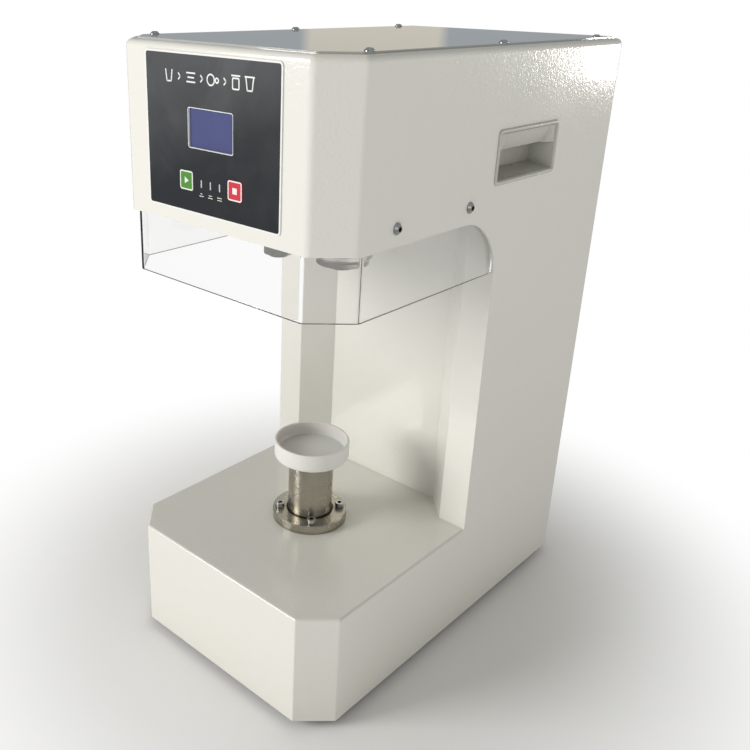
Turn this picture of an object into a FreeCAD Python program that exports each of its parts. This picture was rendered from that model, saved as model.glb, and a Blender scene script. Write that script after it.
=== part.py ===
"""Bench-top can and cup sealing machine: a folded C-shaped casing, a lifting turntable and a seaming head.

Millimetres, +Z up, front towards -Y. The origin lies under the middle of the machine's bounding box,
on the surface it stands on.
"""
import FreeCAD
import Part
import math
import os
from FreeCAD import Vector

# ---------------------------------------------------------------- casing
BODY_WIDTH = 250.0
BODY_DEPTH = 408.0
BODY_HEIGHT = 560.0            # casing alone, without the feet
BASE_HEIGHT = 110.0            # casing bottom to deck
HEAD_HEIGHT = 136.0            # head's lower edge to casing top
COLUMN_SETBACK = 214.0         # front of the machine to the front of the column
CHAMFER = 27.0                 # front vertical corners, 45 degrees
SHEET = 2.0
COVER_SHEET = 1.5
HEAD_BEND = 8.0                # outside radius of the head's vertical folds
BASE_BEND = 2.2
TOP_ROUND = 5.0                # fold between head wall and top flange
DECK_ROUND = 2.4
REAR_BEND = 5.0
FLANGE = 16.0                  # inward flanges that carry the top and rear covers
RETURN = 10.0                  # how far the front pieces run past the chamfer along the sides
BAY_CORNER = 54.0              # radius of the side panels' upper inside corner
SPLIT_BELOW_DECK = 4.0
COVER_INSET = 9.0
# column front, a folded recess that gives tall cans room
STRIP_WIDTH = 29.0
RECESS_DEPTH = 26.0
PAN_WALL = 14.0
# feet
FOOT_HEIGHT = 8.0
FOOT_RADIUS = 15.0
FOOT_INSET = 45.0
# rear connection
INLET_PROUD = 4.0
INLET_X = 62.0
INLET_HEIGHT = 62.0            # centre above the casing bottom
INLET_WIDTH = 50.0
INLET_TALL = 62.0
SOCKET_BELOW = 12.0            # below the inlet's centre
ROCKER_ABOVE = 17.0            # above the inlet's centre
ROCKER_HALF = 10.0
ROCKER_TALL = 13.4
ROCKER_TILT = 6.0              # degrees, in the off position
# general fits
FIXED_GAP = 0.02               # radial, pieces that are pressed or bolted together
RUN_GAP = 0.05                 # radial, shafts that turn or slide in a bush
FACE_GAP = 0.3                 # axial, between pieces that turn past each other
M4 = 2.0                       # thread radii
M5 = 2.5
M6 = 3.0
SIDE_HOLE = M5 + 0.1

# ---------------------------------------------------------------- controls
PANEL_WIDTH = 147.0
PANEL_HEIGHT = 119.5
PANEL_TOP_MARGIN = 6.0
PANEL_THICK = 0.8
PANEL_CORNER = 3.5
DISPLAY_WIDTH = 50.0
DISPLAY_HEIGHT = 30.5
DISPLAY_CENTRE = 54.0          # below the overlay's top edge
KEY_SIDE = 15.4
KEY_SPREAD = 27.0
KEY_CENTRE = 94.5
KEY_PROUD = 1.2
KEY_TRAVEL = 0.5
KEY_CORNER = 1.8
LAMP_PITCH = 10.2
LAMP_CENTRE = 95.0
LAMP_WIDTH = 2.2
LAMP_HEIGHT = 6.0
BOARD_WIDTH = 120.0
BOARD_HEIGHT = 92.0
BOARD_STANDOFF = 13.0
KEY_SWITCH_DEPTH = 5.0
SUPPLY_LENGTH = 120.0
SUPPLY_HEIGHT = 38.0
SUPPLY_SLOT_PITCH = 12.0

# ---------------------------------------------------------------- lift
AXIS_SETBACK = 127.0           # front of the machine to the sealing axis
FLANGE_THICK = 9.0
FLANGE_SPIGOT = 22.0
FLANGE_SCREW_WALL = 1.93       # metal left between the spigot and the flange screws
FLANGE_EDGE = 7.0              # from the screws' pitch circle to the rim
TUBE_RADIUS = 21.75
TUBE_WALL = 6.25               # lower part
TUBE_BEARING_WALL = 4.25       # upper part, bored out for the bearings
BUSH_WALL = 1.5
SPIGOT_WALL = 1.75
TRAY_RADIUS = 36.0
TRAY_WALL = 2.5
TRAY_HEIGHT = 18.5
TRAY_FLOOR = 6.5
TRAY_STUD = 4.5                # stud's reach into the floor
TRAY_RIM = 85.5                # tray rim above the deck
LIFT_STROKE = 30.0
TUBE_BELOW_DECK = 68.0
TRAY_BEARING_THICK = 10.0
TRAY_SHAFT_RADIUS = 8.5
NUT_FLANGE = 6.0
NUT_LENGTH = 26.0
SCREW_OVERRUN = 20.0           # screw left above the nut at the top of the stroke
SCREW_RADIUS = 7.0
SCREW_JOURNAL = 5.0
ROD_RADIUS = 5.0
ROD_OFFSET = 38.0
LIFT_MOTOR_SETBACK = 283.0
LIFT_MOTOR_RADIUS = 28.0
LIFT_PULLEY_RADIUS = 16.0
LIFT_MOTOR_PULLEY_RADIUS = 10.0
LIFT_MOTOR_LENGTH = 106.0
LIFT_PULLEY_Z = 24.0           # above the ground
LIFT_PULLEY_THICK = 11.0
LIFT_BELT_THICK = 2.5
LIFT_FRAME_HALF_WIDTH = 60.0
LIFT_FRAME_HALF_DEPTH = 68.0
LIFT_FRAME_TOP = 8.0
LIFT_FRAME_LEG = 5.0
SCREW_BLOCK_HEIGHT = 12.0

# ---------------------------------------------------------------- head
HEAD_PLATE_RISE = 8.0          # plate's underside above the head's lower edge
HEAD_PLATE_THICK = 12.0
SHIELD_THICK = 3.0
SHIELD_DROP = 52.0             # below the head's lower edge
SHIELD_CORNER_INSET = 5.5      # front corners, in from where the head's corner begins
SHIELD_GAP = 0.3
SHIELD_BEND = 5.0
SIDE_SCREW_SETBACKS = (68.5, 165.5)
SPINDLE_RADIUS = 12.5
SPINDLE_COLLAR = 16.0
BEARING_RADIUS = 26.0
BEARING_THICK = 15.0
HOUSING_WALL = 7.0
HOUSING_FLANGE_RADIUS = 50.0
HOUSING_FLANGE_THICK = 8.0
HOUSING_DROP = 20.0            # below the head plate
HOUSING_RISE = 18.0            # above the head plate
HOUSING_LIP = 2.0
CHUCK_RADIUS = 25.0
CHUCK_LIP_RADIUS = 23.0
CHUCK_BOTTOM = 27.0            # below the head's lower edge
CHUCK_LIP = 6.6
CHUCK_HEIGHT = 12.0
NOSE_RADIUS = 8.0
PIVOT_SPREAD = 62.0
PIVOT_BEHIND = 58.0            # pivots' distance behind the sealing axis
PIVOT_RADIUS = 10.0
ROLLER_RADIUS = 24.0
ROLLER_HUB_RADIUS = 14.0
ROLLER_HUB_LEFT = 20.0         # how far each roller's hub hangs below its disc
ROLLER_HUB_RIGHT = 2.0
ROLLER_PIN_RADIUS = 6.0
ROLLER_PIN_HEAD = 9.0
ROLLER_THICK = 16.0
ROLLER_TOP = 19.0              # below the head's lower edge
ROLLER_LEFT = (-54.0, 7.0)     # from the sealing axis, arms open
ROLLER_RIGHT = (47.5, -25.4)
ARM_END_RADIUS = 12.0
ARM_PIVOT_END_RADIUS = 16.0
ARM_THICK = 14.0
ARM_BOTTOM = 15.0              # below the head's lower edge
ARM_BUSH_WALL = 4.0
ARM_BUSH_FLANGE = 3.0
SEAM_MOTOR_RADIUS = 18.0
SEAM_MOTOR_LENGTH = 62.0
SEAM_BRIDGE_HEIGHT = 34.0
MAIN_MOTOR_RADIUS = 58.0
MAIN_MOTOR_LENGTH = 175.0
MOTOR_SHAFT_RADIUS = 7.0
MOTOR_SETBACK = 326.0
SPINDLE_PULLEY_RADIUS = 35.0
MOTOR_PULLEY_RADIUS = 25.0
PULLEY_THICK = 16.0
PULLEY_RISE = 25.0             # pulley's underside above the head plate
PULLEY_RIM = 2.0
BELT_THICK = 3.0
BELT_GAP = 0.3
SPINE_HALF_WIDTH = 80.0
SPINE_WALL = 5.0

# ---------------------------------------------------------------- handles
HANDLE_LENGTH = 100.0
HANDLE_HEIGHT = 46.0
HANDLE_SETBACK = 248.5
HANDLE_BELOW_TOP = 87.0
HANDLE_DEPTH = 22.0
HANDLE_PROUD = 1.5

# ---------------------------------------------------------------- places that follow from the sizes
HALF_WIDTH = BODY_WIDTH / 2
Y_FRONT = KEY_PROUD - (BODY_DEPTH + COVER_SHEET + INLET_PROUD + KEY_PROUD) / 2
Y_REAR = Y_FRONT + BODY_DEPTH
Y_COLUMN = Y_FRONT + COLUMN_SETBACK
Y_AXIS = Y_FRONT + AXIS_SETBACK
Y_RETURN = Y_FRONT + CHAMFER + RETURN
Z_BOTTOM = FOOT_HEIGHT
Z_TOP = Z_BOTTOM + BODY_HEIGHT
Z_DECK = Z_BOTTOM + BASE_HEIGHT
Z_HEAD = Z_TOP - HEAD_HEIGHT
Z_PLATE = Z_HEAD + HEAD_PLATE_RISE
Z_PLATE_TOP = Z_PLATE + HEAD_PLATE_THICK
Z_PANEL_TOP = Z_TOP - PANEL_TOP_MARGIN
Z_FLOOR = Z_BOTTOM + SHEET     # upper face of the bottom plate
X_INSIDE = HALF_WIDTH - SHEET
TRAY_BEARING_RADIUS = TUBE_RADIUS - TUBE_BEARING_WALL
BUSH_RADIUS = TUBE_RADIUS + RUN_GAP + BUSH_WALL
SPIGOT_RADIUS = BUSH_RADIUS + FIXED_GAP + SPIGOT_WALL
FLANGE_PCR = SPIGOT_RADIUS + M5 + FLANGE_SCREW_WALL
FLANGE_RADIUS = FLANGE_PCR + FLANGE_EDGE
HOUSING_RADIUS = BEARING_RADIUS + HOUSING_WALL
SHIELD_FRONT_HALF = HALF_WIDTH - CHAMFER - SHIELD_CORNER_INSET
FAR = 2000.0                   # past the machine in every direction


# ---------------------------------------------------------------- helpers
def box(x0, x1, y0, y1, z0, z1):
    return Part.makeBox(x1 - x0, y1 - y0, z1 - z0, Vector(x0, y0, z0))


def post(x, y, z0, z1, radius):
    """Upright cylinder."""
    return Part.makeCylinder(radius, z1 - z0, Vector(x, y, z0))


def bar(point, direction, length, radius):
    return Part.makeCylinder(radius, length, point, direction)


def prism(points, z0, z1):
    corners = [Vector(x, y, z0) for x, y in points]
    face = Part.Face(Part.makePolygon(corners + corners[:1]))
    return face.extrude(Vector(0, 0, z1 - z0))


def turned(profile, x=0.0, y=0.0):
    """Solid of revolution about an upright axis from (radius, z) points."""
    corners = [Vector(x + r, y, z) for r, z in profile]
    face = Part.Face(Part.makePolygon(corners + corners[:1]))
    return face.revolve(Vector(x, y, 0), Vector(0, 0, 1), 360)


def fused(shapes):
    return shapes[0].fuse(shapes[1:]).removeSplitter() if len(shapes) > 1 else shapes[0]


def rounded(shape, radius, chosen):
    """Fillets the edges that the test `chosen(edge)` picks."""
    edges = [e for e in shape.Edges if chosen(e)]
    return shape.makeFillet(radius, edges) if edges else shape


def chamfered(shape, size, chosen):
    edges = [e for e in shape.Edges if chosen(e)]
    return shape.makeChamfer(size, edges) if edges else shape


def near(a, b, tolerance=0.01):
    return abs(a - b) < tolerance


def is_upright(edge):
    box_ = edge.BoundBox
    return box_.XLength < 0.01 and box_.YLength < 0.01


def runs_in_x(edge):
    return edge.BoundBox.YLength < 0.01 and edge.BoundBox.ZLength < 0.01


def runs_in_y(edge):
    return edge.BoundBox.XLength < 0.01 and edge.BoundBox.ZLength < 0.01


def lies_at_y(edge, y):
    return near(edge.BoundBox.YMin, y) and near(edge.BoundBox.YMax, y)


def lies_at_z(edge, z):
    return near(edge.BoundBox.ZMin, z) and near(edge.BoundBox.ZMax, z)


def mirrored(shape):
    return shape.mirror(Vector(0, 0, 0), Vector(1, 0, 0))


def both_sides(shape):
    return [shape, mirrored(shape)]


def export(name, shape):
    solids = shape.Solids
    result = solids[0] if len(solids) == 1 else Part.makeCompound(solids)
    result.exportStep(os.path.join("parts", name + ".step"))
    volume = sum(s.Volume for s in solids) / 1000
    print(name, len(solids), "solids", round(volume, 2), "cm3", result.isValid())


# ---------------------------------------------------------------- casing
def plan_points(inset, y_back=None):
    """Plan outline with chamfered front corners, set in from the outside by `inset`."""
    x_side = HALF_WIDTH - inset
    y_back = Y_REAR - inset if y_back is None else y_back
    shift = inset * math.tan(math.radians(22.5))
    x_corner = HALF_WIDTH - CHAMFER - shift
    y_corner = Y_FRONT + CHAMFER + shift
    y_front = Y_FRONT + inset
    return [(-x_corner, y_front), (x_corner, y_front), (x_side, y_corner), (x_side, y_back),
            (-x_side, y_back), (-x_side, y_corner)]


def folded_block(inset, z0, z1, bend, top_round, y_back=None):
    """Plan prism with rounded front folds and, where asked, rounded upper edges."""
    block = prism(plan_points(inset, y_back), z0, z1)
    block = rounded(block, bend, lambda e: is_upright(e) and e.BoundBox.YMax < Y_RETURN)
    if top_round > 0:
        block = rounded(block, top_round, lambda e: lies_at_z(e, z1))
    return block


def column_block(inset, z0, z1, bend, top_round):
    x_side = HALF_WIDTH - inset
    block = box(-x_side, x_side, Y_COLUMN, Y_REAR - inset, z0, z1)
    block = rounded(block, bend, lambda e: is_upright(e) and e.BoundBox.YMin > Y_COLUMN + 1)
    if top_round > 0:
        block = rounded(block, top_round,
                        lambda e: lies_at_z(e, z1) and e.BoundBox.YMax > Y_COLUMN + 1)
    return block


def corner_web(half_width):
    """The side panels' upper inside corner, rounded towards the open bay."""
    y0 = Y_COLUMN - BAY_CORNER
    z0 = Z_HEAD - BAY_CORNER
    block = box(-half_width, half_width, y0, Y_COLUMN, z0, Z_HEAD)
    return block.cut(bar(Vector(-FAR / 2, y0, z0), Vector(1, 0, 0), FAR, BAY_CORNER))


def handle_places():
    """Centre of a recessed handle: y and z."""
    return Y_FRONT + HANDLE_SETBACK, Z_TOP - HANDLE_BELOW_TOP


def casing_shell():
    rear_in = REAR_BEND - SHEET
    outside = fused([
        folded_block(0, Z_HEAD, Z_TOP, HEAD_BEND, TOP_ROUND, Y_COLUMN + 30),
        folded_block(0, Z_BOTTOM, Z_DECK, BASE_BEND, DECK_ROUND, Y_COLUMN + 30),
        column_block(0, Z_BOTTOM, Z_TOP, REAR_BEND, TOP_ROUND),
        corner_web(HALF_WIDTH)])
    inside = [
        folded_block(SHEET, Z_HEAD - 1, Z_TOP - SHEET, HEAD_BEND - SHEET, TOP_ROUND - SHEET, Y_COLUMN + 20),
        prism(plan_points(SHEET, Y_COLUMN + 20), Z_BOTTOM - 1, Z_DECK - SHEET),
        column_block(SHEET, Z_BOTTOM - 1, Z_TOP - SHEET, rear_in, TOP_ROUND - SHEET),
        corner_web(X_INSIDE)]
    shell = outside
    for hollow in inside:
        shell = shell.cut(hollow)
    flange_edge = HALF_WIDTH - FLANGE
    rear_opening = box(-flange_edge, flange_edge, Y_REAR - SHEET - 1, Y_REAR + 1, Z_BOTTOM - 1, Z_TOP + 1)
    top_opening = prism(plan_points(FLANGE, Y_REAR + 1), Z_TOP - SHEET - 1, Z_TOP + 1)
    return shell.cut(rear_opening).cut(top_opening)


def casing_pieces():
    shell = casing_shell()
    for cutter in side_cutters() + front_cutters() + deck_cutters() + cover_screw_cutters():
        shell = shell.cut(cutter)
    head_zone = box(-FAR, FAR, Y_FRONT - 1, Y_RETURN, Z_HEAD - 1, Z_TOP + 1)
    base_zone = fused([
        box(-FAR, FAR, Y_FRONT - 1, Y_RETURN, Z_BOTTOM - 1, Z_DECK + 1),
        box(-FAR, FAR, Y_FRONT - 1, Y_COLUMN, Z_DECK - SPLIT_BELOW_DECK, Z_DECK + 1)])
    sides = shell.cut(head_zone).cut(base_zone)
    right = sides.common(box(0, FAR, -FAR, FAR, -1, FAR))
    left = sides.common(box(-FAR, 0, -FAR, FAR, -1, FAR))
    deck_tongue = prism(panel_outline_back(), Z_DECK - SHEET, Z_DECK)
    base = shell.common(base_zone).fuse(deck_tongue).removeSplitter()
    return {"head_front_panel": shell.common(head_zone), "base_shell": base,
            "right_side_panel": right, "left_side_panel": left}


def side_cutters():
    y, z = handle_places()
    margin = 4.0
    cutters = [box(-FAR, FAR, y - HANDLE_LENGTH / 2 + margin, y + HANDLE_LENGTH / 2 - margin,
                   z - HANDLE_HEIGHT / 2 + margin, z + HANDLE_HEIGHT / 2 - margin)]
    z_screw = (Z_PLATE + Z_PLATE_TOP) / 2
    for setback in SIDE_SCREW_SETBACKS:
        cutters.append(bar(Vector(-FAR / 2, Y_FRONT + setback, z_screw), Vector(1, 0, 0), FAR, SIDE_HOLE))
    return cutters


def display_window(margin, y0, y1):
    z = Z_PANEL_TOP - DISPLAY_CENTRE
    window = box(-DISPLAY_WIDTH / 2 - margin, DISPLAY_WIDTH / 2 + margin, y0, y1,
                 z - DISPLAY_HEIGHT / 2 - margin, z + DISPLAY_HEIGHT / 2 + margin)
    return window


def key_block(side, margin, y0, y1):
    x = side * KEY_SPREAD
    z = Z_PANEL_TOP - KEY_CENTRE
    half = KEY_SIDE / 2 + margin
    block = box(x - half, x + half, y0, y1, z - half, z + half)
    return rounded(block, KEY_CORNER + margin, runs_in_y)


def lamp_blocks(margin, y0, y1):
    z = Z_PANEL_TOP - LAMP_CENTRE
    blocks = []
    for step in (-1, 0, 1):
        x = step * LAMP_PITCH
        block = box(x - LAMP_WIDTH / 2 - margin, x + LAMP_WIDTH / 2 + margin, y0, y1,
                    z - LAMP_HEIGHT / 2 - margin, z + LAMP_HEIGHT / 2 + margin)
        blocks.append(rounded(block, (LAMP_WIDTH / 2 + margin) * 0.95, runs_in_y))
    return blocks


def front_cutters():
    y0 = Y_FRONT - 5
    y1 = Y_FRONT + SHEET + 1
    return [display_window(0, y0, y1), key_block(1, 0.5, y0, y1), key_block(-1, 0.5, y0, y1)] \
        + lamp_blocks(0.1, y0, y1)


def flange_screw_places():
    reach = FLANGE_PCR / math.sqrt(2)
    return [(sx * reach, Y_AXIS + sy * reach) for sx in (-1, 1) for sy in (-1, 1)]


def deck_cutters():
    cutters = [post(0, Y_AXIS, Z_DECK - 20, Z_DECK + 1, SPIGOT_RADIUS + FIXED_GAP)]
    for x, y in flange_screw_places():
        cutters.append(post(x, y, Z_DECK - 20, Z_DECK + 1, M5 + FIXED_GAP))
    return cutters


def top_screw_places():
    x = HALF_WIDTH - FLANGE + 3.5
    return [(side * x, y) for side in (-1, 1) for y in (Y_FRONT + CHAMFER + 14, Y_FRONT + 212, Y_REAR - 32)]


def rear_screw_places():
    x = HALF_WIDTH - FLANGE / 2 - 1.5
    heights = [Z_BOTTOM + 26 + i * (BODY_HEIGHT - 60) / 3 for i in range(4)]
    return [(side * x, z) for side in (-1, 1) for z in heights]


def cover_screw_cutters():
    cutters = [post(x, y, Z_TOP - 10, Z_TOP + 5, M4 + FIXED_GAP) for x, y in top_screw_places()]
    for x, z in rear_screw_places():
        cutters.append(bar(Vector(x, Y_REAR - 8, z), Vector(0, 1, 0), 12, M4 + FIXED_GAP))
    return cutters


def top_cover():
    plate = folded_block(COVER_INSET, Z_TOP, Z_TOP + COVER_SHEET, 3, 0, Y_REAR - 2)
    plate = rounded(plate, 0.4, lambda e: lies_at_z(e, Z_TOP + COVER_SHEET))
    for x, y in top_screw_places():
        plate = plate.cut(post(x, y, Z_TOP - 1, Z_TOP + 5, M4 + FIXED_GAP))
    return plate


def vent_slots():
    """Two banks of level cooling slots."""
    slots = []
    for bank_z in (Z_BOTTOM + 190, Z_TOP - 110):
        for row in range(7):
            z = bank_z + row * 10
            slot = box(-48, 48, Y_REAR - 30, Y_REAR + 5, z - 2, z + 2)
            slots.append(rounded(slot, 1.9, runs_in_y))
    return slots


def rear_cover():
    edge = 4.0
    sheet = box(-HALF_WIDTH + edge, HALF_WIDTH - edge, Y_REAR, Y_REAR + COVER_SHEET,
                Z_BOTTOM + edge, Z_TOP - TOP_ROUND)
    sheet = rounded(sheet, 3, runs_in_y)
    hook_half = HALF_WIDTH - FLANGE - 1
    hook = [box(-hook_half, hook_half, Y_REAR - FLANGE, Y_REAR, Z_TOP - COVER_SHEET, Z_TOP),
            box(-hook_half, hook_half, Y_REAR - COVER_SHEET, Y_REAR, Z_TOP - TOP_ROUND - 12, Z_TOP)]
    cover = fused([sheet] + hook)
    for slot in vent_slots():
        cover = cover.cut(slot)
    for x, z in rear_screw_places():
        cover = cover.cut(bar(Vector(x, Y_REAR - 8, z), Vector(0, 1, 0), 12, M4 + FIXED_GAP))
    x, z = inlet_place()
    cover = cover.cut(box(x - INLET_WIDTH / 2 + 4, x + INLET_WIDTH / 2 - 4, Y_REAR - 1, Y_REAR + 5,
                          z - INLET_TALL / 2 + 4, z + INLET_TALL / 2 - 4))
    return cover


def panel_front():
    """Right half of the column panel's front line, from the side to the middle."""
    x_strip = HALF_WIDTH - STRIP_WIDTH
    return [(X_INSIDE - FIXED_GAP, Y_COLUMN), (x_strip, Y_COLUMN),
            (x_strip - RECESS_DEPTH, Y_COLUMN + RECESS_DEPTH)]


def panel_back():
    turn = SHEET * math.tan(math.radians(22.5))
    side, strip, middle = panel_front()
    return [(middle[0] + turn, middle[1] + SHEET), (strip[0] + turn, strip[1] + SHEET),
            (side[0], side[1] + SHEET)]


def panel_outline_back():
    """Floor of the column's recess, out to the back of the panel that stands on it."""
    back = panel_back()
    x_out = back[-1][0]
    return [(-x, y) for x, y in reversed(back)] + back + [(x_out, Y_COLUMN), (-x_out, Y_COLUMN)]


def column_front_panel():
    """Sheet that closes the column: two strips, two slopes and a middle set back."""
    front = panel_front()
    back = panel_back()
    left_front = [(-x, y) for x, y in reversed(front)]
    left_back = [(-x, y) for x, y in reversed(back)]
    outline = front + left_front + left_back + back
    sheet = prism(outline, Z_DECK, Z_PLATE)
    folds = [x for x, y in front[1:]]
    return rounded(sheet, 1.5, lambda e: is_upright(e) and any(near(abs(e.BoundBox.XMin), f) for f in folds))


def pan_block(inset, z0, z1):
    """Plan block with its rear corners rounded to clear the side panels' bends."""
    block = prism(plan_points(inset), z0, z1)
    return rounded(block, REAR_BEND, lambda e: is_upright(e) and e.BoundBox.YMin > Y_COLUMN)


def bottom_plate():
    inset = SHEET + FIXED_GAP
    pan = pan_block(inset, Z_BOTTOM, Z_BOTTOM + PAN_WALL)
    pan = pan.cut(pan_block(inset + SHEET, Z_FLOOR, Z_BOTTOM + PAN_WALL + 1))
    for x, y in foot_places():
        pan = pan.cut(post(x, y, Z_BOTTOM - 1, Z_FLOOR + 1, M5 + FIXED_GAP))
    return pan


def foot_places():
    x = HALF_WIDTH - FOOT_INSET * 0.75
    return [(side * x, y) for side in (-1, 1) for y in (Y_FRONT + FOOT_INSET, Y_REAR - FOOT_INSET)]


def rubber_feet():
    z_stud = Z_FLOOR + 2
    profile = [(0, 0), (FOOT_RADIUS - 2, 0), (FOOT_RADIUS, FOOT_HEIGHT), (M5, FOOT_HEIGHT), (M5, z_stud),
               (0, z_stud)]
    return Part.makeCompound([turned(profile, x, y) for x, y in foot_places()])


# ---------------------------------------------------------------- fasteners
def hex_socket(radius, depth):
    """Hexagonal recess opening upward at z = 0."""
    turns = [math.radians(60 * i) for i in range(6)]
    return prism([(radius * math.cos(t), radius * math.sin(t)) for t in turns], -depth, 0.5)


def button_screw(thread, head_radius, head_height, length):
    """Button-head screw with its seat at z = 0, pointing down."""
    head = turned([(0, 0), (head_radius, 0), (head_radius, head_height * 0.25),
                   (head_radius * 0.55, head_height), (0, head_height)])
    head = rounded(head, head_height * 0.3, lambda e: near(e.BoundBox.ZMin, head_height * 0.25))
    socket = hex_socket(head_radius * 0.42, head_height * 0.7)
    socket.translate(Vector(0, 0, head_height))
    return fused([head, post(0, 0, -length, 0.01, thread)]).cut(socket)


def cap_screw(thread, head_radius, head_height, length):
    head = post(0, 0, 0, head_height, head_radius)
    head = rounded(head, 0.5, lambda e: lies_at_z(e, head_height))
    socket = hex_socket(head_radius * 0.55, head_height * 0.6)
    socket.translate(Vector(0, 0, head_height))
    return fused([head, post(0, 0, -length, 0.01, thread)]).cut(socket)


def placed(shape, place, axis=None, angle=0.0):
    copy = shape.copy()
    if axis is not None:
        copy.rotate(Vector(0, 0, 0), axis, angle)
    copy.translate(Vector(*place))
    return copy


def top_cover_screws():
    screw = button_screw(M4, 3.8, 2.2, 7)
    return Part.makeCompound([placed(screw, (x, y, Z_TOP + COVER_SHEET)) for x, y in top_screw_places()])


def rear_cover_screws():
    screw = button_screw(M4, 3.8, 2.2, 6)
    return Part.makeCompound([placed(screw, (x, Y_REAR + COVER_SHEET, z), Vector(1, 0, 0), -90)
                              for x, z in rear_screw_places()])


def side_screws():
    screw = button_screw(M5, 4.75, 2.75, 16)
    z = (Z_PLATE + Z_PLATE_TOP) / 2
    shapes = []
    for setback in SIDE_SCREW_SETBACKS:
        y = Y_FRONT + setback
        shapes.append(placed(screw, (HALF_WIDTH, y, z), Vector(0, 1, 0), 90))
        shapes.append(placed(screw, (-HALF_WIDTH, y, z), Vector(0, 1, 0), -90))
    return Part.makeCompound(shapes)


def flange_screws():
    screw = cap_screw(M5, 4.25, 5, FLANGE_THICK + 12)
    return Part.makeCompound([placed(screw, (x, y, Z_DECK + FLANGE_THICK)) for x, y in flange_screw_places()])


# ---------------------------------------------------------------- handles and shield
def handle_right():
    """Recessed cast pull: a rim, a sloping hood and a scooped pocket below and behind it."""
    y, z = handle_places()
    x_face = HALF_WIDTH
    fit = 4.0 + 0.1
    rim = box(x_face, x_face + HANDLE_PROUD, y - HANDLE_LENGTH / 2, y + HANDLE_LENGTH / 2,
              z - HANDLE_HEIGHT / 2, z + HANDLE_HEIGHT / 2)
    rim = rounded(rim, 4.5, runs_in_x)
    rim = rounded(rim, 1.1, lambda e: near(e.BoundBox.XMin, x_face + HANDLE_PROUD))
    body = box(x_face - HANDLE_DEPTH, x_face + 0.01, y - HANDLE_LENGTH / 2 + fit, y + HANDLE_LENGTH / 2 - fit,
               z - HANDLE_HEIGHT / 2 + fit, z + HANDLE_HEIGHT / 2 - fit)
    z_low = z - HANDLE_HEIGHT / 2 + 5.5
    z_high = z + HANDLE_HEIGHT / 2 - 6.0
    x_back = x_face - HANDLE_DEPTH + 2.0
    x_out = x_face + HANDLE_PROUD + 1
    lip_z = z_high - 12.5
    lip_x = x_face - 5.0
    brow_x = x_face + HANDLE_PROUD * 0.3
    brow_z = z_high + 3.0
    path = [
        Part.LineSegment(Vector(x_out, 0, z_low), Vector(x_face, 0, z_low)),
        Part.Arc(Vector(x_face, 0, z_low),
                 Vector(x_face - (x_face - x_back) * 0.72, 0, z_low + (lip_z - z_low) * 0.32),
                 Vector(x_back, 0, lip_z)),
        Part.LineSegment(Vector(x_back, 0, lip_z), Vector(x_back, 0, z_high)),
        Part.LineSegment(Vector(x_back, 0, z_high), Vector(lip_x - 3.5, 0, z_high)),
        Part.LineSegment(Vector(lip_x - 3.5, 0, z_high), Vector(lip_x - 2.5, 0, lip_z + 0.6)),
        Part.LineSegment(Vector(lip_x - 2.5, 0, lip_z + 0.6), Vector(lip_x, 0, lip_z)),
        Part.LineSegment(Vector(lip_x, 0, lip_z), Vector(brow_x, 0, brow_z)),
        Part.LineSegment(Vector(brow_x, 0, brow_z), Vector(x_out, 0, brow_z)),
        Part.LineSegment(Vector(x_out, 0, brow_z), Vector(x_out, 0, z_low))]
    pocket = Part.Face(Part.Wire([s.toShape() for s in path]))
    half = HANDLE_LENGTH / 2 - 6.5
    pocket.translate(Vector(0, y - half, 0))
    return fused([rim, body]).cut(pocket.extrude(Vector(0, 2 * half, 0)))


def shield_outline(inset):
    """Shield's plan from the right rear round the front to the left rear, set in by `inset`."""
    x_side = X_INSIDE - SHIELD_GAP - inset
    y_front = Y_FRONT + SHEET + SHIELD_GAP + inset
    shift = inset * math.tan(math.radians(22.5))
    x_corner = SHIELD_FRONT_HALF - shift
    y_corner = y_front - inset + (X_INSIDE - SHIELD_GAP - SHIELD_FRONT_HALF) + shift
    y_rear = Y_COLUMN - SHIELD_GAP
    return [(x_side, y_rear), (x_side, y_corner), (x_corner, y_front),
            (-x_corner, y_front), (-x_side, y_corner), (-x_side, y_rear)]


def shield():
    z0 = Z_HEAD - SHIELD_DROP
    z1 = Z_PLATE_TOP - 1
    sheet = prism(shield_outline(0), z0, z1)
    sheet = rounded(sheet, SHIELD_BEND, lambda e: is_upright(e) and e.BoundBox.YMax < Y_RETURN)
    hollow = shield_outline(SHIELD_THICK)
    y_open = Y_COLUMN + 1
    hollow = [(hollow[0][0], y_open)] + hollow[1:5] + [(hollow[5][0], y_open)]
    inside = prism(hollow, z0 - 1, z1 + 1)
    inside = rounded(inside, SHIELD_BEND - SHIELD_THICK,
                     lambda e: is_upright(e) and e.BoundBox.YMax < Y_RETURN)
    sheet = sheet.cut(inside)
    z_screw = (Z_PLATE + Z_PLATE_TOP) / 2
    for setback in SIDE_SCREW_SETBACKS:
        sheet = sheet.cut(bar(Vector(-FAR / 2, Y_FRONT + setback, z_screw), Vector(1, 0, 0), FAR, SIDE_HOLE))
    return rounded(sheet, 0.5, lambda e: lies_at_z(e, z0))


# ---------------------------------------------------------------- controls
def control_overlay():
    """Printed front film with openings for the display, the keys and the lamps."""
    film = box(-PANEL_WIDTH / 2, PANEL_WIDTH / 2, Y_FRONT - PANEL_THICK, Y_FRONT,
               Z_PANEL_TOP - PANEL_HEIGHT, Z_PANEL_TOP)
    film = rounded(film, PANEL_CORNER, runs_in_y)
    y0 = Y_FRONT - PANEL_THICK - 1
    y1 = Y_FRONT + 1
    for cutter in [display_window(0, y0, y1), key_block(1, 0.2, y0, y1), key_block(-1, 0.2, y0, y1)] \
            + lamp_blocks(FIXED_GAP, y0, y1):
        film = film.cut(cutter)
    return film


def board_front():
    return Y_FRONT + SHEET + BOARD_STANDOFF


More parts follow.
